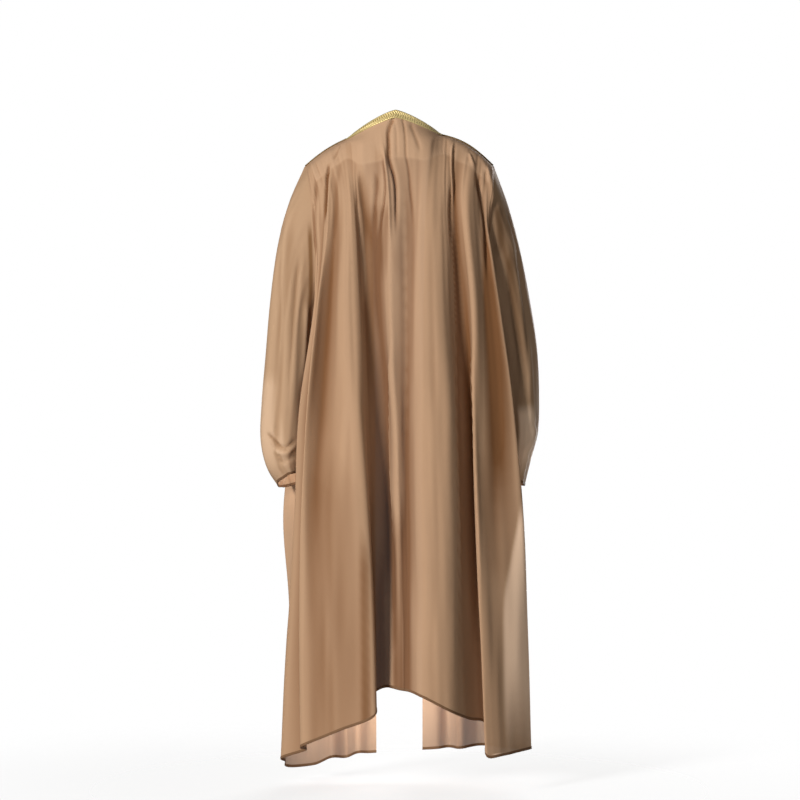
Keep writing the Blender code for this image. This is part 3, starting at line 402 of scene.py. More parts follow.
# The camera sees 1.92 m across at its aim, and the floor lies where the wearer's soles would be
AIM = (-0.0024, 0.05, -0.677)
CAMERA_DISTANCE = 7.0
CAMERA_LENS = 131.25
FLOOR_Z = -1.613
FLOOR_HALF = 3.0
FLOOR_SOLID = 0.5
FLOOR_FADED = 1.6
FLOOR_OPACITY = 0.30
FLOOR_GREY = (0.93, 0.93, 0.93, 1.0)

# Name, place, size and watts of each light
LIGHTS = (
    ("key", (3.9, 5.3, 1.3), 1.3, 470.0),
    ("fill", (-3.0, 6.0, 0.4), 3.0, 34.0),
    ("front", (-1.5, -5.0, 0.0), 3.0, 300.0),
)

# Name, place, width, height, watts and spread in degrees of each lamp inside the cloak, all shining forward
INNER_LIGHTS = (
    ("inside_body", (0.04, 0.0, -1.05), 0.32, 0.96, 3.4, 150),
    ("inside_cuff_left", (0.262, 0.012, -0.830), 0.050, 0.080, 0.10, 180),
    ("inside_cuff_right", (-0.276, 0.010, -0.810), 0.050, 0.080, 0.08, 180),
)
INNER_COLOUR = (0.97, 0.98, 1.0)
SURROUND_COLOUR = (1.0, 0.995, 0.985, 1.0)
SURROUND_LIGHT = 0.15

BACK_CREASES = (
    ("gather_trough", (16, -8, 24, -25, 26, -45, 25, -70, 24, -104, 18, -126, 12, -146, 8, -175, 7, -220,
     7, -300), -8.5, 3.5, 5.5),
    ("gather_ridge", (40, -60, 35, -90, 32, -115, 28, -145, 25, -180, 23, -220, 22, -270, 19, -330), 6, 3.5,
     3.5),
    ("gather_side", (39, -90, 38, -115, 35, -140, 34, -175, 37, -205, 43, -255, 48, -330), -4.2, 3, 3.2),
    ("gather_second", (9, -14, 6, -36, 5, -80, 3, -120), -1.5, 3.5, 3.5),
    ("gather_third", (-9, -8, -12, -22, -15, -56, -16, -96, -20, -116, -24, -146, -26, -180, -30, -220,
     -34, -290), -2.4, 2.6, 4),
    ("gather_fourth", (-30, -22, -42, -55, -53, -90), -2.2, 4.5, 6),
    ("left_valley_rim", (102, -120, 100, -150, 96, -190, 90, -235, 86, -290, 82, -360), 2, 9, 4),
    ("left_valley_start", (94, -125, 90, -160, 84, -200, 77, -250, 70, -320), -3.6, 7, 15),
    ("shaded_fold", (54, -130, 54, -175, 57, -215, 58, -290), -5.5, 6, 6),
    ("left_soft_trough", (138, -105, 145, -135, 149, -175, 150, -240, 152, -320), -2.2, 6, 6),
    ("left_crease_start", (139, -62, 157, -100, 164, -118), -2.2, 2.2, 3),
    ("left_crease", (166, -110, 169, -128, 173, -158, 175, -205, 177, -262), -8.5, 3.5, 3.5),
    ("left_crease_lip", (162, -122, 166, -160, 168, -205, 170, -262, 174, -320), 3, 3.5, 5),
    ("left_arm_crease", (196, -130, 200, -190, 204, -236, 203, -285, 200, -330, 202, -390, 208, -470), -6,
     5, 7),
    ("left_arm_lip", (220, -300, 225, -390, 230, -490, 236, -600), 4, 3.5, 6),
    ("right_tuck", (-133, -52, -126, -80, -124, -115, -125, -155, -127, -195, -129, -230), 3.4, 2.6, 2.2),
    ("right_tuck_line", (-136, -60, -132, -85, -131, -115, -132, -155, -133, -195, -134, -240), -1.6, 2, 3),
    ("right_tuck_wedge", (-119, -165, -120, -200, -119, -250, -118, -320), -3.5, 3, 6),
    ("shoulder_ray_1", (-166, -82, -176, -110, -182, -127), 4, 4, 2.4),
    ("shoulder_trough_1", (-182, -120, -191, -160, -199, -205, -206, -260, -210, -330, -214, -410), -11, 5,
     8),
    ("shoulder_ray_2", (-204, -104, -216, -145, -222, -190, -227, -240), 6, 5.5, 5.5),
    ("deep_left_edge", (21, -520, 20.5, -800, 14, -960, 10, -1080), 5, 2.5, 8),
    ("deep_right_edge", (-173, -520, -174, -640, -182, -880, -196, -1180), 4.5, 2.5, 7),
    ("ridge_flank", (-111, -120, -118, -300, -125, -450, -127, -800, -132, -1000, -140, -1250, -147, -1420),
     9, 26, 11),
    ("centre_valley", (-10, -240, -14, -420, -18, -700, -20, -1050), -1.8, 8, 8),
    ("blade_ridge", (-104, -70, -110, -110, -114, -160, -116, -240), 4.5, 24, 12),
)

FRONT_CREASES = (
    ("left_rib_1", (110, -160, 108, -400, 104, -800, 100, -1300), 4, 7, 10),
    ("left_rib_2", (150, -150, 152, -380, 146, -700, 140, -1100), -5, 6, 6),
    ("left_rib_3", (186, -170, 190, -420, 196, -800, 200, -1350), 4, 6, 8),
    ("right_rib_1", (-112, -150, -110, -420, -108, -850, -106, -1250), -4.5, 7, 6),
    ("right_rib_2", (-146, -140, -150, -380, -152, -760, -154, -1300), 4, 8, 6),
    ("right_rib_3", (-190, -160, -196, -460, -206, -860, -214, -1250), -5, 6, 8),
)

SLEEVE_CREASES = {
    "left": (
        ("lit_ridge", (262, -200, 277, -330, 280, -490, 292, -640), 4, 6, 9),
        ("long_trough", (236, -300, 250, -450, 262, -600, 270, -720), -5.5, 9, 7),
        ("inner_ridge", (220, -430, 228, -560, 238, -680), 4.5, 6, 6),
        ("swag_upper", (324, -756, 306, -766, 295, -780, 285, -790, 271, -794, 259, -784, 240, -762), -6,
         6.5, 4.5),
        ("swag_lip", (300, -796, 286, -804, 272, -805, 258, -794, 240, -776), 4.5, 4.5, 6),
        ("swag_lower", (292, -820, 276, -825, 262, -818, 244, -806), -3, 5, 4.5),
    ),
    "right": (
        ("outer_trough", (-244, -290, -262, -420, -278, -560, -290, -700), -3, 8, 10),
        ("outer_ridge", (-262, -250, -284, -400, -300, -560, -310, -690), 1.6, 7, 7),
        ("rear_trough", (-282, -300, -302, -450, -316, -600), -4, 5, 5),
        ("swag", (-330, -740, -312, -786, -290, -786), 4.5, 8, 8),
    ),
}


def smooth_curve(points, shares):
    """Points of a centripetal Catmull-Rom curve through points, at shares given as segment + fraction."""
    points = np.asarray(points, float)
    steps = np.linalg.norm(np.diff(points, axis=0), axis=1) ** 0.5 + 1e-9
    slopes = np.diff(points, axis=0) / steps[:, None]
    tangents = np.empty_like(points)
    tangents[0], tangents[-1] = slopes[0], slopes[-1]
    before, after = steps[:-1, None], steps[1:, None]
    tangents[1:-1] = (slopes[:-1] * after + slopes[1:] * before) / (before + after)
    shares = np.asarray(shares, float)
    segment = np.minimum(shares.astype(int), len(points) - 2)
    t = (shares - segment)[:, None]
    step = steps[segment][:, None]
    return (
        (2 * t**3 - 3 * t**2 + 1) * points[segment]
        + (t**3 - 2 * t**2 + t) * step * tangents[segment]
        + (3 * t**2 - 2 * t**3) * points[segment + 1]
        + (t**3 - t**2) * step * tangents[segment + 1]
    )


def run_of(points):
    """The distances of points from the first one, along their line."""
    return np.cumsum([0.0, *np.linalg.norm(np.diff(points, axis=0), axis=1)])


def between(wanted, known, values):
    """The values at wanted places, on straight lines between the values at known places."""
    return np.stack([np.interp(wanted, known, column) for column in values.T], axis=1)


def along(points, distances=None, shares=None):
    """Points of the smooth curve at distances from its start, or at shares of its length."""
    dense = smooth_curve(points, np.linspace(0, len(points) - 1, CURVE_STEPS * (len(points) - 1) + 1))
    run = run_of(dense)
    return between(distances if shares is None else np.asarray(shares) * run[-1], run, dense), run[-1]


def ease(value):
    """0 below 0 and 1 above 1, with a smooth rise between."""
    value = np.clip(value, 0.0, 1.0)
    return value * value * (3 - 2 * value)


def unit(vectors):
    """The vectors at a length of 1."""
    return vectors / np.maximum(np.linalg.norm(vectors, axis=-1, keepdims=True), 1e-12)


def finer(values, split):
    """The values with split equal steps in place of each step."""
    values = np.asarray(values, float)
    places = np.linspace(0, len(values) - 1, (len(values) - 1) * split + 1)
    return np.interp(places, np.arange(len(values)), values)


def neck_point(share):
    """A point on the neckline, from the left neck point (0) round the back to the right one (1)."""
    angle = math.pi * share
    side = "left" if share < 0.5 else "right"
    across = math.cos(angle)
    return np.array([
        NECK_APEX[0] + NECK_REACH[side] * across,
        NECK_BACK + NECK_DEPTH * math.sin(angle),
        NECK_APEX[1] - NECK_DROP[side] * abs(across) ** NECK_SLOPE,
    ])


def neck_outward(share):
    """The direction in which the braid lies from the neckline: down the back, or out along a shoulder."""
    angle = math.pi * share
    side = "left" if share < 0.5 else "right"
    along_shoulder = unit(np.array(SHOULDER_TIP[side]) - neck_point(NECK_END[side]))
    return unit(math.sin(angle) * np.array(DOWN_BACK) + abs(math.cos(angle)) * along_shoulder)


def braid_foot(share):
    """A point on the lower edge of the braid round the neck."""
    return neck_point(share) + BRAID_WIDTH * neck_outward(share)


def shoulder_seam(side, share):
    """A point on a shoulder seam, from the shoulder tip (0) to the outer edge of the braid (1)."""
    tip = np.array(SHOULDER_TIP[side])
    foot = braid_foot(NECK_END[side])
    rise = SHOULDER_RISE[side] * math.sin(math.pi * share)
    return tip + (foot - tip) * share + np.array([0.0, 0.0, rise])


def seam_start(fold):
    """Where a fold line leaves its seam."""
    if fold.seam == "neck":
        return braid_foot(fold.at)
    part, side = fold.seam.rsplit("_", 1)
    if part == "shoulder":
        return shoulder_seam(side, fold.at)
    return neck_point(NECK_END[side])


def low_points(fold):
    """The points that a fold line passes at its levels, and its point at the hem."""
    levels = LEVELS[-len(fold.places):]
    passed = [np.array([x / MM, y / MM, level]) for (x, y), level in zip(fold.places, levels)]
    return [*passed, np.array(fold.hem) / MM]


def fold_chain(fold, half):
    """The points that a fold line passes, from its seam to the hem."""
    start, low = seam_start(fold), low_points(fold)
    backward = 1 if half == "back" else -1
    over = abs(math.cos(math.pi * fold.at)) ** 2 if fold.seam == "neck" else 1.0
    roll = np.array([0.0, backward * SHOULDER_ROLL, -SHOULDER_ROLL_DROP])
    aside = np.array([(low[0][0] - start[0]) * START_LEAN, 0.0, 0.0])
    return [start, start + over * roll + (1 - over) * np.array(BACK_FALL) + aside, *low]


def upper_shares(length):
    """Shares of a line's length from its seam to the underarm level at which it carries its rows."""
    first = TOP_ROWS[-1] / length
    even = [first + (1 - first) * (k + 1) / ROWS_TO_UNDERARM for k in range(ROWS_TO_UNDERARM)]
    return np.array([*[distance / length for distance in TOP_ROWS], *even])


def lower_distances(upper, length):
    """Distances at which a line carries its rows from the underarm level to the hem."""
    even = [upper + (length - HEM_DEPTH - upper) * (k + 1) / ROWS_TO_HEM for k in range(ROWS_TO_HEM)]
    return np.array([*even, length])


def line_rows(fold, half):
    """The points of a fold line at the panel's rows."""
    if fold.seam.startswith("armhole"):
        return side_rows(fold, half)
    chain = fold_chain(fold, half)
    length = along(chain, shares=[1.0])[1]
    probes = np.linspace(0, length, LINE_PROBES)
    heights = along(chain, distances=probes)[0][:, 2]
    upper = float(np.interp(-UNDERARM["left"][2], -heights, probes))
    coarse = np.concatenate([upper * upper_shares(upper), lower_distances(upper, length)])
    return along(chain, distances=finer(coarse, ROW_SPLIT))[0]


def side_rows(fold, half):
    """The points of a side line at the panel's rows: down the armhole, then down the side seam."""
    side = fold.seam.rsplit("_", 1)[1]
    hole = [SHOULDER_TIP[side], *np.array(ARMHOLES[f"{side}_{half}"]) / MM, UNDERARM[side]]
    length = along(hole, shares=[1.0])[1]
    upper = along(hole, shares=finer(upper_shares(length), ROW_SPLIT))[0]
    seam = [UNDERARM[side], *low_points(fold)]
    length = along(seam, shares=[1.0])[1]
    lower = finer([0.0, *lower_distances(0.0, length)], ROW_SPLIT)[1:]
    return np.concatenate([upper, along(seam, distances=lower)[0]])


def column_shares(folds):
    """Segment + fraction of every grid column across the fold lines."""
    shares = []
    for index, fold in enumerate(folds[:-1]):
        steps = fold.columns * COLUMN_SPLIT
        shares += [index + k / steps for k in range(steps)]
    return np.array([*shares, len(folds) - 1.0])


def panel_grid(folds, half):
    """Rows by columns of points over a panel, from its fold lines."""
    lines = np.stack([line_rows(fold, half) for fold in folds])
    shares = column_shares(folds)
    grid = np.stack([rounded_row(lines[:, row], shares) for row in range(lines.shape[1])])
    seam = np.stack([top_edge(folds, share) for share in shares])
    # The rounding of the rows fades out at the seams, which neighbouring panels share
    fade = (1 - ease(np.arange(len(grid)) / (2.0 * ROW_SPLIT)))[:, None, None]
    grid += (seam - grid[0]) * fade
    for fold, part in ((folds[0], shares), (folds[-1], len(folds) - 1 - shares)):
        if fold.seam.startswith("armhole"):
            sag_under_arm(grid, part, fold.seam.endswith("left"))
    return grid


def rounded_row(points, shares):
    """A row of a panel: the smooth curve across the fold lines, with its ridges and troughs rounded off."""
    steps = CURVE_STEPS * (len(points) - 1)
    dense = smooth_curve(points, np.linspace(0, len(points) - 1, steps + 1))
    run = run_of(dense)
    pace = run[-1] / round(run[-1] / ROUNDING_PACE)
    even_run = np.arange(round(run[-1] / pace) + 1) * pace
    even = between(even_run, run, dense)
    reach = int(ROUNDING_REACH * FOLD_ROUNDING / pace)
    weights = np.exp(-0.5 * (np.arange(-reach, reach + 1) * pace / FOLD_ROUNDING) ** 2)
    weights /= weights.sum()
    before = 2 * even[0] - even[reach:0:-1]
    after = 2 * even[-1] - even[-2:-reach - 2:-1]
    padded = np.concatenate([before, even, after])
    soft = np.stack([np.convolve(padded[:, axis], weights, "valid") for axis in range(3)], axis=1)
    places = np.interp(shares * CURVE_STEPS, np.arange(steps + 1), run)
    return between(places, even_run, soft)


def sag_under_arm(grid, part, left):
    """Moves the columns between the side seam (0) and the next fold line (1) in towards the body."""
    near = (part > 0) & (part < 1)
    below = (UNDERARM["left"][2] + SAG_START[0] - grid[:, near, 2]) / SAG_START[1]
    above = (grid[:, near, 2] + SAG_END[0]) / SAG_END[1]
    strength = ease(below) * ease(above) * (4 * part * (1 - part))[near]
    grid[:, near, 0] += (-1 if left else 1) * SIDE_SAG * strength


def top_edge(folds, share):
    """The point of a panel's top edge at a column, on the seam that its two fold lines leave."""
    index = min(int(share), len(folds) - 2)
    here, after = folds[index], folds[index + 1]
    part = share - index
    kinds = [fold.seam.split("_")[0] for fold in (here, after)]
    if "neck" in (here.seam, after.seam) and kinds[0] == kinds[1]:
        return braid_foot(here.at + (after.at - here.at) * part)
    if after.seam.startswith("neck_point"):
        end = NECK_END[after.seam.rsplit("_", 1)[1]]
        return braid_foot(end) + (neck_point(end) - braid_foot(end)) * part
    seam = here.seam if kinds[0] == "shoulder" else after.seam
    ends = [end_on(fold, seam) for fold in (here, after)]
    return shoulder_seam(seam.rsplit("_", 1)[1], ends[0] + (ends[1] - ends[0]) * part)


def end_on(fold, seam):
    """How far along a shoulder seam a fold line starts: 0 at the armhole, and 1 at the neck."""
    if fold.seam == seam:
        return fold.at
    return 0.0 if fold.seam.startswith("armhole") else 1.0


def armhole_loop(side, back, front):
    """The armhole's points: up its back half from the underarm, and down its front half."""
    last = (len(TOP_ROWS) - 1 + ROWS_TO_UNDERARM) * ROW_SPLIT
    up = back[last::-1, 0 if side == "left" else -1]
    return np.concatenate([up, front[1:last, 0]])


def sleeve_grid(side, loop):
    """Rows by columns of a sleeve, from the armhole's points down through its sections."""
    outward = 1 if side == "left" else -1
    count = len(loop)
    tip = (len(TOP_ROWS) - 1 + ROWS_TO_UNDERARM) * ROW_SPLIT
    top, bottom = loop[tip, 2], loop[0, 2]
    columns = []
    for column, start in enumerate(loop):
        half = 1 if column <= tip else -1
        even = math.pi * (1 - column / tip) if half > 0 else math.pi * (column - tip) / (count - tip)
        # Near the armhole a column keeps its height, so that it leaves the seam squarely
        level = math.acos(min(max(1 - 2 * (top - start[2]) / (top - bottom), -1.0), 1.0))
        chain = [start]
        for index, section in enumerate(map(Section._make, SLEEVES[side])):
            turned = float(ease(index / SQUARE_SECTIONS))
            chain.append(section_point(section, half * (level + (even - level) * turned)))
        length = along(chain, shares=[1.0])[1]
        coarse = [*((length - HEM_DEPTH) * k / (SLEEVE_ROWS - 1) for k in range(SLEEVE_ROWS)), length]
        line = along(chain, distances=finer(coarse, SLEEVE_ROW_SPLIT))[0]
        out = np.array([outward * math.cos(even), half * math.sin(even), 0.0])
        shares = np.arange(len(line)) / (SLEEVE_ROWS * SLEEVE_ROW_SPLIT)
        columns.append(line + fold_push(side, half * even, shares)[:, None] * out)
    return np.stack(columns, axis=1)


def section_point(section, angle):
    """A point of a sleeve section: angle 0 is the outer side, and positive angles go round the back."""
    outer, inner = np.array(section.outer) / MM, np.array(section.inner) / MM
    middle, half = (outer + inner) / 2, (outer - inner) / 2
    x, z = middle + half * math.cos(angle)
    depth = (section.back if angle > 0 else section.front) / MM
    y = ARM_CENTRE_Y + depth * math.sin(angle) * (1 + SLEEVE_PINCH * math.cos(angle))
    rise = section.lift / MM * math.sin(angle) * (1.0 if angle > 0 else FRONT_LIFT)
    return np.array([x, y, z + rise])


def fold_push(side, angle, shares):
    """How far the sleeve's long folds move its points outwards, growing from the armhole down."""
    lost = ease((shares - SLEEVE_FOLD_LOSS_START) / (1 - SLEEVE_FOLD_LOSS_START))
    strength = ease(shares / SLEEVE_FOLD_GROWTH) * (1 - SLEEVE_FOLD_LOSS * lost)
    apart = [(math.degrees(angle) - fold.angle) / fold.half_width for fold in SLEEVE_FOLDS[side]]
    push = sum(fold.height / MM * math.exp(-(gap ** 2)) for fold, gap in zip(SLEEVE_FOLDS[side], apart))
    return push * strength


def grid_normals(grid, closed=False):
    """Outward normals of a grid whose columns run so that down x across points outwards."""
    across = np.roll(grid, -1, axis=1) - np.roll(grid, 1, axis=1) if closed else np.gradient(grid, axis=1)
    return unit(np.cross(np.gradient(grid, axis=0), across))


def across_and_down(grid):
    """The distances of a grid's columns and rows from its first ones, on average."""
    across = np.linalg.norm(np.diff(grid, axis=1), axis=2).mean(axis=0)
    down = np.linalg.norm(np.diff(grid, axis=0), axis=2).mean(axis=1)
    return np.cumsum([0.0, *across])[None, :], np.cumsum([0.0, *down])[:, None]


def seam_pin(grid, closed):
    """1 over the cloth and 0 at its seams: a panel's two long edges, or the top of a sleeve."""
    across, down = across_and_down(grid)
    if closed:
        return ease(down / SEAM_REACH) * np.ones_like(across)
    return ease(across / SEAM_REACH) * ease((across.max() - across) / SEAM_REACH) * np.ones_like(down)


def pressed(grid, creases, facing, closed=False, shift=0.0, power=2):
    """The creases' heights at a grid's points that face +Y (facing 1) or -Y (facing -1), and 0 elsewhere."""
    towards = ease(grid_normals(grid, closed)[..., 1] * facing / FACING_FADE + 0.5)
    push = np.zeros(grid.shape[:2])
    for crease in map(Crease._make, creases):
        run = np.linspace(0, 1, CREASE_STEPS)
        path = along(np.array(crease.path).reshape(-1, 2) / MM, shares=run)[0] + (shift, 0.0)
        reach = CREASE_REACH * max(crease.left, crease.right) / MM
        low, high = path.min(axis=0) - reach, path.max(axis=0) + reach
        near = (grid[..., 0] > low[0]) & (grid[..., 0] < high[0]) & (towards > 0)
        near &= (grid[..., 2] > low[1]) & (grid[..., 2] < high[1])
        seen = grid[near][:, [0, 2]]
        if not len(seen):
            continue
        gaps = seen[:, None, :] - path[None, :, :]
        nearest = np.argmin((gaps ** 2).sum(axis=2), axis=1)
        gap = gaps[np.arange(len(seen)), nearest]
        ahead = unit(np.gradient(path, axis=0))[nearest]
        side = ahead[:, 0] * gap[:, 1] - ahead[:, 1] * gap[:, 0]
        width = np.where(side > 0, crease.left, crease.right) / MM
        start_fade, end_fade = CREASE_FADE if crease.name not in FROM_SEAM else (0.0, CREASE_FADE[1])
        place = run[nearest]
        fade = ease(place / start_fade) if start_fade else 1.0
        fade = fade * ease((1 - place) / end_fade)
        profile = np.exp(-((np.linalg.norm(gap, axis=1) / width) ** power))
        push[near] += crease.height * profile * fade * towards[near]
    return push


def creased(grid, creases, facing, closed=False, shift=0.0, share=1.0):
    """The grid with narrow creases pressed into one side, and left alone along its seams."""
    push = pressed(grid, creases, facing, closed, shift) * share * seam_pin(grid, closed)
    return grid + grid_normals(grid, closed) * push[..., None] / MM


def hollow(grid, reach, closed=False):
    """How far each point lies behind the average of its row within reach on either side."""
    facing = grid_normals(grid, closed)
    depth = np.zeros(grid.shape[:2])
    count = grid.shape[1]
    for row, line in enumerate(grid):
        if closed:
            line = np.concatenate([line, line, line])
        steps = np.linalg.norm(np.diff(line, axis=0), axis=1)
        run = np.concatenate([[0.0], np.cumsum(steps)])
        pieces = (line[1:] + line[:-1]) / 2 * steps[:, None]
        total = np.concatenate([[line[0] * 0], np.cumsum(pieces, axis=0)])
        low, high = np.clip(run - reach, 0, run[-1]), np.clip(run + reach, 0, run[-1])
        mean = (between(high, run, total) - between(low, run, total)) / (high - low)[:, None]
        behind = (mean - line)[count:2 * count] if closed else mean - line
        depth[row] = (behind * facing[row]).sum(axis=1)
    return depth


def painted_cloth_shading(grid, painted_shades=(), thin=(), facing=1, closed=False):
    """Painted shading of the sheer cloth: shade up to 1 in its folds, where it also lies double, and light
    below 0 from thin.
    """
    broad = hollow(grid, BROAD_REACH, closed) / BROAD_DEPTH
    fine = hollow(grid, FINE_REACH, closed) / FINE_DEPTH
    painted_shading = PAINTED_SHADE_LEVEL + broad + fine + pressed(grid, painted_shades, facing, closed, power=SHADE_EDGE)
    return np.clip(painted_shading, 0.0, 1.0) + pressed(grid, thin, facing, closed, power=PAINTED_LIGHT_EDGE)


def rippled(grid, part, closed=False):
    """The grid with slow, shallow waves that run down the cloth, as thin cloth has between its folds."""
    random = np.random.default_rng(RIPPLE_SEEDS[part])
    u, v = across_and_down(grid)
    waves = np.zeros(grid.shape[:2])
    for wavelength in RIPPLE_LENGTHS:
        lean, phase = random.uniform(-RIPPLE_LEAN, RIPPLE_LEAN), random.uniform(0, ONE_TURN)
        swell = random.uniform(*RIPPLE_SWELL)
        drift = RIPPLE_DRIFT * np.sin(v / swell * ONE_TURN + random.uniform(0, ONE_TURN))
        waves += wavelength / 0.05 * np.sin((u + lean * v) / wavelength * ONE_TURN + phase + drift)
    down, aside = RIPPLE_MARGINS
    still = ease(v / down) * ease(u / aside) * ease((u.max() - u) / aside)
    return grid + grid_normals(grid, closed) * (RIPPLE_HEIGHT * waves * still)[..., None]


def quads_of(rows, columns, closed=False):
    """Quads over a grid, facing outwards."""
    last = columns if closed else columns - 1
    row, column = np.meshgrid(np.arange(rows - 1), np.arange(last), indexing="ij")
    after = (column + 1) % columns
    top, below = row * columns, (row + 1) * columns
    return np.stack([top + column, below + column, below + after, top + after], axis=-1).reshape(-1, 4)


def placed(name, data):
    """A new object in the scene."""
    made = bpy.data.objects.new(name, data)
    bpy.context.scene.collection.objects.link(made)
    return made


def surface(name, points, quads, finish, metres=None, painted_shading=None):
    """A mesh object with smooth shading, a UV map in metres, a finish and its painted shading at each point.
    """
    mesh = bpy.data.meshes.new(name)
    mesh.from_pydata(np.asarray(points).reshape(-1, 3).tolist(), [], np.asarray(quads).tolist())
    mesh.validate()
    mesh.shade_smooth()
    if metres is not None:
        layer = mesh.uv_layers.new(name="cloth")
        corners = np.empty(len(mesh.loops), dtype=int)
        mesh.loops.foreach_get("vertex_index", corners)
        layer.data.foreach_set("uv", np.asarray(metres).reshape(-1, 2)[corners].astype(np.float32).ravel())
    if painted_shading is not None:
        painted_shades = mesh.attributes.new("painted_shading", "FLOAT", "POINT")
        painted_shades.data.foreach_set("value", np.asarray(painted_shading, dtype=np.float32).ravel())
    mesh.materials.append(finish)
    made = placed(name, mesh)
    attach(made, "root")
    return made


def metres_over(grid):
    """The distances across and down a grid, for its UV map."""
    across, down = across_and_down(grid)
    return np.stack(np.broadcast_arrays(across, -down), axis=-1)


def turned_hem(name, grid, closed=False):
    """The turned-up edge of a panel: a flat loop of cloth round the lower part of the grid's last rows."""
    rows = (SLEEVE_ROW_SPLIT if closed else ROW_SPLIT) + 1
    last = grid[-rows:]
    drop = np.linspace(HEM_SHARE, 1.0, HEM_ROWS) * (rows - 1)
    low = np.minimum(drop.astype(int), rows - 2)
    part = (drop - low)[:, None, None]
    band = last[low] * (1 - part) + last[low + 1] * part
    normals = grid_normals(band, closed)
    # Stitches pull the upper edge of the turned cloth against the panel
    lie = np.minimum(np.linspace(0.5, 2.5, HEM_ROWS), 1.0)[:, None, None] * HEM_THICKNESS / 2
    fold = unit(band[-1] - band[-2]) * HEM_THICKNESS / 2
    rings = np.concatenate([band + normals * lie, (band[-1] + fold)[None], (band - normals * lie)[::-1]])
    return surface(name, rings, quads_of(len(rings), rings.shape[1], closed), cloth_finish("hem"),
                   metres_over(rings))


def neck_strip(grid):
    """Rows of points under the neck braid, from the neckline down to the braid's foot."""
    shares = column_shares(BACK_FOLDS)
    seams = [fold.seam for fold in BACK_FOLDS]
    first, count = seams.index("neck"), seams.count("neck")
    columns = np.flatnonzero((shares >= first) & (shares <= first + count - 1))
    places = [fold.at for fold in BACK_FOLDS[first:first + count]]
    around = np.interp(shares[columns], np.arange(first, first + count), places)
    edge = np.stack([neck_point(share) for share in around])
    parts = np.linspace(0, 1, STRIP_ROWS + 1)[:, None, None]
    return edge + (grid[0, columns] - edge) * parts, columns


def back_piece(grid, painted_shading):
    """The back panel with the strip of cloth under the neck braid."""
    strip, columns = neck_strip(grid)
    count = grid.shape[0] * grid.shape[1]
    points = np.concatenate([grid.reshape(-1, 3), strip[:-1].reshape(-1, 3)])
    index = count + np.arange(STRIP_ROWS * len(columns)).reshape(STRIP_ROWS, -1)
    index = np.concatenate([index, columns[None]])
    upper = np.stack([index[:-1, :-1], index[1:, :-1], index[1:, 1:], index[:-1, 1:]], axis=-1).reshape(-1, 4)
    metres = metres_over(grid)
    rise = (1 - np.arange(STRIP_ROWS) / STRIP_ROWS) * BRAID_WIDTH
    above = np.stack(np.broadcast_arrays(metres[0, columns, 0], rise[:, None]), axis=-1)
    metres = np.concatenate([metres.reshape(-1, 2), above.reshape(-1, 2)])
    quads = np.concatenate([quads_of(*grid.shape[:2]), upper])
    painted_shading = np.concatenate([painted_shading.ravel(), np.tile(painted_shading[0, columns], STRIP_ROWS)])
    return surface("cloth_back", points, quads, cloth_finish("back"), metres, painted_shading)


def yoke_place():
    """The back panel's rows and columns that the yoke facing lies behind."""
    shares = column_shares(BACK_FOLDS)
    seams = [fold.seam for fold in BACK_FOLDS]
    first = seams.index("shoulder_left") + YOKE_INSET
    last = seams.index("shoulder_right") + seams.count("shoulder_right") - 1 - YOKE_INSET
    rows = slice(0, (len(TOP_ROWS) - 1) * ROW_SPLIT + 1)
    return rows, np.flatnonzero((shares >= first) & (shares <= last))


def braid_height(run, across):
    """How far the braid's threads stand up at a distance along it and a share of its width."""
    aside = np.abs(across - 0.5)
    ribs = 0.5 + 0.5 * np.cos(math.tau * (run + CHEVRON_LEAN * aside) / CHEVRON_STEP)
    centre = np.exp(-((aside / CENTRE_WIDTH) ** 2))
    edges = sum(np.exp(-(((across - place) / CORD_WIDTH) ** 2)) for place in CORD_PLACES)
    twist = 0.75 + 0.25 * np.cos(math.tau * (run / CORD_TWIST + across * 2.0))
    threads = (aside < CHEVRON_HALF) * (1 - centre) + CENTRE_RISE * centre
    return BRAID_BASE + BRAID_RIB * threads * ribs + BRAID_CORD * edges * twist


def braid(name, strip, normals, widths, gaps=1.0):
    """A raised braid over a strip: rows across its width, columns along it, and painted shade in its gaps,
    scaled by gaps.
    """
    height = braid_height(across_and_down(strip)[0], widths[:, None])
    top = strip + normals * height[..., None]
    edges = strip + normals * BRAID_EDGE
    points = np.concatenate([edges[:1], top, edges[-1:]])
    # Painted shade where the threads lie lower, and full along the braid's two edges
    painted_shading = (1 - (height - height.min()) / (height.max() - height.min())) * gaps
    painted_shading = np.pad(painted_shading, ((1, 1), (0, 0)), constant_values=1.0)
    quads = quads_of(*points.shape[:2])
    return surface(name, points, quads, gold_finish("braid"), metres_over(points), painted_shading)


def resampled(points, axis, pace):
    """The grid with evenly spaced points about pace apart along one axis."""
    moved = np.moveaxis(points, axis, 0)
    run = across_and_down(moved)[1][:, 0]
    count = int(run[-1] / pace) + 1
    even = between(np.linspace(0, run[-1], count), run, moved.reshape(len(moved), -1))
    return np.moveaxis(even.reshape(count, *moved.shape[1:]), 0, axis)


def neck_braid():
    """The braid round the back of the neck, from one shoulder seam to the other."""
    shares = np.linspace(0, 1, BRAID_STEPS)
    edge = np.stack([neck_point(share) for share in shares])
    foot = np.stack([braid_foot(share) for share in shares])
    lap = BRAID_LAP / BRAID_WIDTH
    widths = np.linspace(-lap, 1, BRAID_COLUMNS)
    strip = edge + (foot - edge) * widths[:, None, None]
    # Painted light: less painted shade in the gaps on the right half, which is turned from the key light
    gaps = 1 - GAP_PAINTED_LIGHT * ease((shares - GAP_PAINTED_LIGHT_START) / GAP_PAINTED_LIGHT_RISE)
    return braid("braid_neck", strip, grid_normals(strip), (widths + lap) / (1 + lap), gaps)


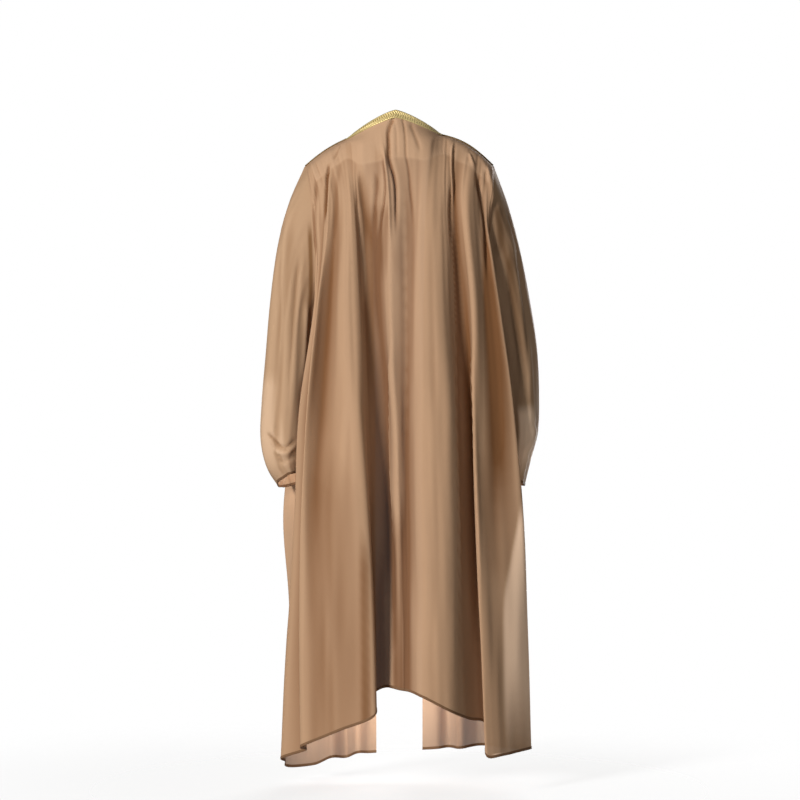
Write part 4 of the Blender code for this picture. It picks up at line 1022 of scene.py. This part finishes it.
def front_braid(side, grid):
    """The braid down one front edge, from the shoulder seam to the waist. The grid faces outwards."""
    strip_columns = 2 * COLUMN_SPLIT + 1
    strip = grid[:, :strip_columns] if side == "left" else grid[:, -strip_columns:]
    bottom = int(np.argmin(np.abs(strip[:, 0, 2] - BRAID_BOTTOM)))
    strip = resampled(resampled(strip[:bottom + 1], 0, BRAID_PACE), 1, BRAID_WIDTH / (BRAID_COLUMNS - 1))
    normals = grid_normals(strip)
    # Turned so that its rows run across the width and its columns along the braid, still facing outwards
    strip = np.swapaxes(strip, 0, 1)[::-1]
    normals = np.swapaxes(normals, 0, 1)[::-1]
    return braid(f"braid_front_{side}", strip, normals, np.linspace(0, 1, len(strip)))


def piping(side):
    """The twisted gold cord on a shoulder seam, from the shoulder tip to just under the braid."""
    shares = np.linspace(*PIPING_SPAN, PIPING_STEPS)
    seam = np.stack([shoulder_seam(side, share) for share in shares])
    centres = seam + np.array([0.0, PIPING_BACK, PIPING_RISE])
    ahead = unit(np.gradient(centres, axis=0))
    aside = unit(np.cross(ahead, (0.0, 1.0, 0.0)))
    upward = np.cross(ahead, aside)
    turns = np.linspace(0, math.tau, PIPING_SIDES, endpoint=False)
    strands = np.abs(np.sin(turns + math.tau * run_of(centres)[:, None] / PIPING_TWIST))
    radius = (PIPING_RADIUS * (0.72 + 0.28 * strands))[..., None]
    around = np.cos(turns)[:, None] * aside[:, None] + np.sin(turns)[:, None] * upward[:, None]
    rings = centres[:, None] + radius * around
    quads = quads_of(len(rings), PIPING_SIDES, closed=True)
    if side == "right":
        quads = quads[:, ::-1]
    # Painted shade in the grooves between the cord's twisted strands
    return surface(f"cord_shoulder_{side}", rings, quads, gold_finish("cord"), painted_shading=1 - strands)


def nodes_of(owner):
    """The node tree of a material or a world."""
    owner.use_nodes = True
    return owner.node_tree


def settle(node, values):
    """Plain values on a node's sockets and settings."""
    for name, value in values.items():
        if hasattr(node, name) and name not in node.inputs:
            setattr(node, name, value)
        else:
            node.inputs[name].default_value = value


def joined(tree, kind, values=None, **links):
    """A shader node with plain values and with links from other nodes' outputs."""
    node = tree.nodes.new(f"ShaderNode{kind}")
    settle(node, values or {})
    for name, output in links.items():
        tree.links.new(output, node.inputs[name])
    return node


def linked(tree, node, outputs):
    """Links outputs to a node's first sockets, in order."""
    for number, output in enumerate(outputs):
        tree.links.new(output, node.inputs[number])


def mixed(tree, factor, first, second):
    """A colour mix: first and second are colours or outputs."""
    node = joined(tree, "Mix", {"data_type": "RGBA"}, Factor=factor)
    for socket, value in ((node.inputs[6], first), (node.inputs[7], second)):
        if isinstance(value, tuple):
            socket.default_value = (*value, 1.0)
        else:
            tree.links.new(value, socket)
    return node.outputs[2]


@cache
def cloth_finish(kind):
    """Sheer crepe cloth: painted shade in its folds, where it also lies double, painted light, a fine weave
    and a soft crinkle.
    """
    look = CLOTH_LOOKS[kind]
    finish = bpy.data.materials.new(f"cloth_{kind}")
    tree = nodes_of(finish)
    place = joined(tree, "TexCoord").outputs["Object"]
    streaks = joined(tree, "Mapping", {"Scale": (30.0, 30.0, 2.2)}, Vector=place)
    cloudy = joined(tree, "TexNoise", {"Scale": 4.0, "Detail": 3.0}, Vector=place)
    streaky = joined(tree, "TexNoise", {"Scale": 1.0, "Detail": 3.0}, Vector=streaks.outputs["Vector"])
    lines = joined(tree, "MapRange", {"From Min": 0.3, "From Max": 0.7, "To Max": 0.06},
                   Value=streaky.outputs["Fac"])
    dye = mixed(tree, cloudy.outputs["Fac"], look.warm, look.cool)
    dye = mixed(tree, lines.outputs["Result"], dye, look.deep)
    # Painted shade towards the deep dye and painted light towards the pale one
    painted_shading = joined(tree, "Attribute", {"attribute_name": "painted_shading"})
    for full, colour in ((1.0, look.deep), (-1.0, look.pale)):
        share = joined(tree, "MapRange", {"From Max": full}, Value=painted_shading.outputs["Fac"])
        dye = mixed(tree, share.outputs["Result"], dye, colour)

    metres = joined(tree, "UVMap", {"uv_map": "cloth"})
    threads = []
    for direction in ("X", "Y"):
        bands = {"bands_direction": direction, "Scale": THREADS_SCALE, "Distortion": 0.6, "Detail": 1.0}
        threads.append(joined(tree, "TexWave", bands, Vector=metres.outputs["UV"]).outputs["Fac"])
    weave = joined(tree, "Math", {"operation": "MAXIMUM"})
    linked(tree, weave, threads)
    crinkle = joined(tree, "TexNoise", {"Scale": 330.0, "Detail": 2.0}, Vector=place)
    fine = joined(tree, "Bump", {"Strength": 0.20, "Distance": 0.0002}, Height=weave.outputs["Value"])
    coarse = joined(tree, "Bump", {"Strength": 0.25, "Distance": 0.0006}, Height=crinkle.outputs["Fac"],
                    Normal=fine.outputs["Normal"])

    shader = tree.nodes["Principled BSDF"]
    tree.links.new(dye, shader.inputs["Base Color"])
    tree.links.new(coarse.outputs["Normal"], shader.inputs["Normal"])
    settle(shader, {"Roughness": 0.62, "Specular IOR Level": 0.05, "Sheen Weight": look.sheen,
                    "Sheen Roughness": 0.4, "Sheen Tint": (1.0, 0.80, 0.60, 1.0), "Alpha": look.alpha})
    return finish


@cache
def gold_finish(kind):
    """Metal-thread gold: bright on the raised threads, painted olive shade in the gaps, with a fine glitter
    of stitches.
    """
    look = GOLD_LOOKS[kind]
    finish = bpy.data.materials.new(f"gold_{kind}")
    tree = nodes_of(finish)
    place = joined(tree, "TexCoord").outputs["Object"]
    stitches = joined(tree, "TexNoise", {"Scale": 620.0, "Detail": 2.0}, Vector=place).outputs["Fac"]
    glitter = joined(tree, "MapRange", {"From Min": 0.35, "From Max": 0.65}, Value=stitches)
    # The painted shade in the gaps between the threads
    gaps = joined(tree, "Attribute", {"attribute_name": "painted_shading"})
    thread = mixed(tree, glitter.outputs["Result"], look.mid, look.bright)
    thread = mixed(tree, gaps.outputs["Fac"], thread, look.shade)
    bump = joined(tree, "Bump", {"Strength": 0.6, "Distance": 0.0005}, Height=stitches)
    shader = tree.nodes["Principled BSDF"]
    tree.links.new(thread, shader.inputs["Base Color"])
    tree.links.new(bump.outputs["Normal"], shader.inputs["Normal"])
    settle(shader, {"Metallic": 0.45, "Roughness": 0.45})
    return finish


def floor():
    """A pale floor under the cloak, faded out towards its rim so that it has no horizon."""
    low, high = -FLOOR_HALF, FLOOR_HALF
    mesh = bpy.data.meshes.new("floor")
    corners = [(low, low, FLOOR_Z), (high, low, FLOOR_Z), (high, high, FLOOR_Z), (low, high, FLOOR_Z)]
    mesh.from_pydata(corners, [], [(0, 1, 2, 3)])
    made = placed("floor", mesh)
    finish = bpy.data.materials.new("floor")
    tree = nodes_of(finish)
    place = joined(tree, "TexCoord").outputs["Object"]
    distance = joined(tree, "VectorMath", {"operation": "DISTANCE"})
    tree.links.new(place, distance.inputs[0])
    distance.inputs[1].default_value = (0.0, 0.0, FLOOR_Z)
    rim = {"interpolation_type": "SMOOTHSTEP", "From Min": FLOOR_SOLID, "From Max": FLOOR_FADED,
           "To Min": FLOOR_OPACITY, "To Max": 0.0}
    fade = joined(tree, "MapRange", rim, Value=distance.outputs["Value"])
    shader = tree.nodes["Principled BSDF"]
    tree.links.new(fade.outputs["Result"], shader.inputs["Alpha"])
    settle(shader, {"Base Color": FLOOR_GREY, "Roughness": 0.8})
    mesh.materials.append(finish)


def area_lamp(name, place, backward, watts, width, height):
    """A rectangular lamp at a place, which shines the other way than backward."""
    lamp = bpy.data.lights.new(name, "AREA")
    lamp.shape = "RECTANGLE"
    lamp.size, lamp.size_y = width, height
    lamp.energy = watts
    made = placed(name, lamp)
    made.location = place
    made.rotation_euler = Vector(backward).to_track_quat("Z", "Y").to_euler()
    return made


def inner_light(name, place, width, height, watts, spread):
    """A lamp inside the cloak, for the light that thin cloth lets through to the inside of its front."""
    made = area_lamp(name, place, (0.0, 1.0, 0.0), watts, width, height)
    made.data.color = INNER_COLOUR
    made.data.spread = math.radians(spread)
    made.visible_camera = False


def studio():
    """A key light from behind on the wearer's left, a fill, a front light, inner lamps and white around."""
    for name, place, size, watts in LIGHTS:
        area_lamp(name, place, np.array(place) - np.array(AIM), watts, size, size)
    for light in INNER_LIGHTS:
        inner_light(*light)
    world = bpy.data.worlds.new("studio")
    tree = nodes_of(world)
    surround = tree.nodes["Background"]
    settle(surround, {"Color": SURROUND_COLOUR, "Strength": SURROUND_LIGHT})
    backdrop = joined(tree, "Background", {"Color": (1.0, 1.0, 1.0, 1.0), "Strength": 1.0})
    rays = joined(tree, "LightPath")
    mix = joined(tree, "MixShader")
    linked(tree, mix, (rays.outputs["Is Camera Ray"], surround.outputs[0], backdrop.outputs[0]))
    tree.links.new(mix.outputs[0], tree.nodes["World Output"].inputs["Surface"])
    bpy.context.scene.world = world
    bpy.context.scene.view_settings.view_transform = "Standard"


def camera():
    """Seven metres behind the cloak, level, as in the photograph."""
    lens = bpy.data.cameras.new("camera")
    lens.lens = CAMERA_LENS
    lens.sensor_width = 36.0
    made = placed("camera", lens)
    made.location = Vector(AIM) + Vector((0.0, CAMERA_DISTANCE, 0.0))
    made.rotation_euler = Vector((0.0, 1.0, 0.0)).to_track_quat("Z", "Y").to_euler()
    bpy.context.scene.camera = made


def back_panel(grid):
    """The back panel with its hem."""
    painted_shading = painted_cloth_shading(grid, BACK_PAINTED_SHADES, BACK_PAINTED_LIGHT)
    rows, columns = yoke_place()
    # Behind the yoke facing the cloth lies double: less painted shade there, down to a little painted light
    doubled = painted_shading[rows, columns[0]:columns[-1] + 1]
    doubled[:] = np.minimum(doubled, np.maximum(doubled - YOKE_SHADE_CUT, YOKE_PAINTED_LIGHT))
    cloth = back_piece(grid, painted_shading)
    hem = turned_hem("hem_back", grid)
    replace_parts(cloth, "back")


def yoke(grid):
    """The facing inside the back, from the shoulder seams and the braid's foot down to the blades."""
    rows, columns = yoke_place()
    part = (grid - grid_normals(grid) * (WALL + YOKE_GAP))[rows][:, columns]
    quads = quads_of(*part.shape[:2])
    facing = surface("yoke_lining", part, quads, cloth_finish("yoke"), metres_over(part))
    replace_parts(facing, "yoke_facing")


def front(side, grid):
    """A front panel with its hem and braid."""
    # The fronts take a share of the painted shade in their folds
    painted_shading = painted_cloth_shading(grid, facing=-1) * FRONT_PAINTED_SHADE_SHARE
    panel = surface(f"cloth_front_{side}", grid, quads_of(*grid.shape[:2]), cloth_finish("front"),
                    metres_over(grid), painted_shading)
    hem = turned_hem(f"hem_front_{side}", grid)
    tape = front_braid(side, grid)
    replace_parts(panel, f"front_{side}")
    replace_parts(tape, f"front_braid_{side}")


def sleeve(side, grid):
    """A sleeve with its hem."""
    grid = creased(grid, SLEEVE_CREASES[side], 1, closed=True)
    grid = creased(grid, SLEEVE_CREASES[side], -1, closed=True, shift=FRONT_SHIFT, share=FRONT_SHARE)
    grid = rippled(grid, f"sleeve_{side}", closed=True)
    looped = np.concatenate([grid, grid[:, :1]], axis=1)
    # Painted shade and painted light on the sleeve; the right one takes the darker, shaded copy of the dye
    painted_shading = painted_cloth_shading(grid, SLEEVE_PAINTED_SHADES[side], SLEEVE_PAINTED_LIGHT[side], closed=True)
    finish = cloth_finish("sleeve" if side == "left" else "sleeve_right")
    cloth = surface(f"cloth_sleeve_{side}", grid, quads_of(*grid.shape[:2], closed=True), finish,
                    metres_over(looped)[:, :-1], painted_shading)
    hem = turned_hem(f"hem_sleeve_{side}", grid, closed=True)
    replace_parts(cloth, f"sleeve_{side}")


def build():
    """The whole cloak, the floor, the lights and the camera."""
    back = panel_grid(BACK_FOLDS, "back")
    left = panel_grid(FRONT_LEFT_FOLDS, "front")
    right = panel_grid(FRONT_RIGHT_FOLDS, "front")
    sleeves = {
        "left": sleeve_grid("left", armhole_loop("left", back, left))[:, ::-1],
        "right": sleeve_grid("right", armhole_loop("right", back, right)),
    }
    back = rippled(creased(back, BACK_CREASES, 1), "back")
    back_panel(back)
    front("left", rippled(creased(left[:, ::-1], FRONT_CREASES, -1), "front_left"))
    front("right", rippled(creased(right, FRONT_CREASES, -1), "front_right"))
    for side, grid in sleeves.items():
        sleeve(side, grid)
    yoke(back)
    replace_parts(neck_braid(), "neck_braid")
    for side in ("left", "right"):
        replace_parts(piping(side), f"shoulder_piping_{side}")

    floor()
    studio()
    camera()


build()
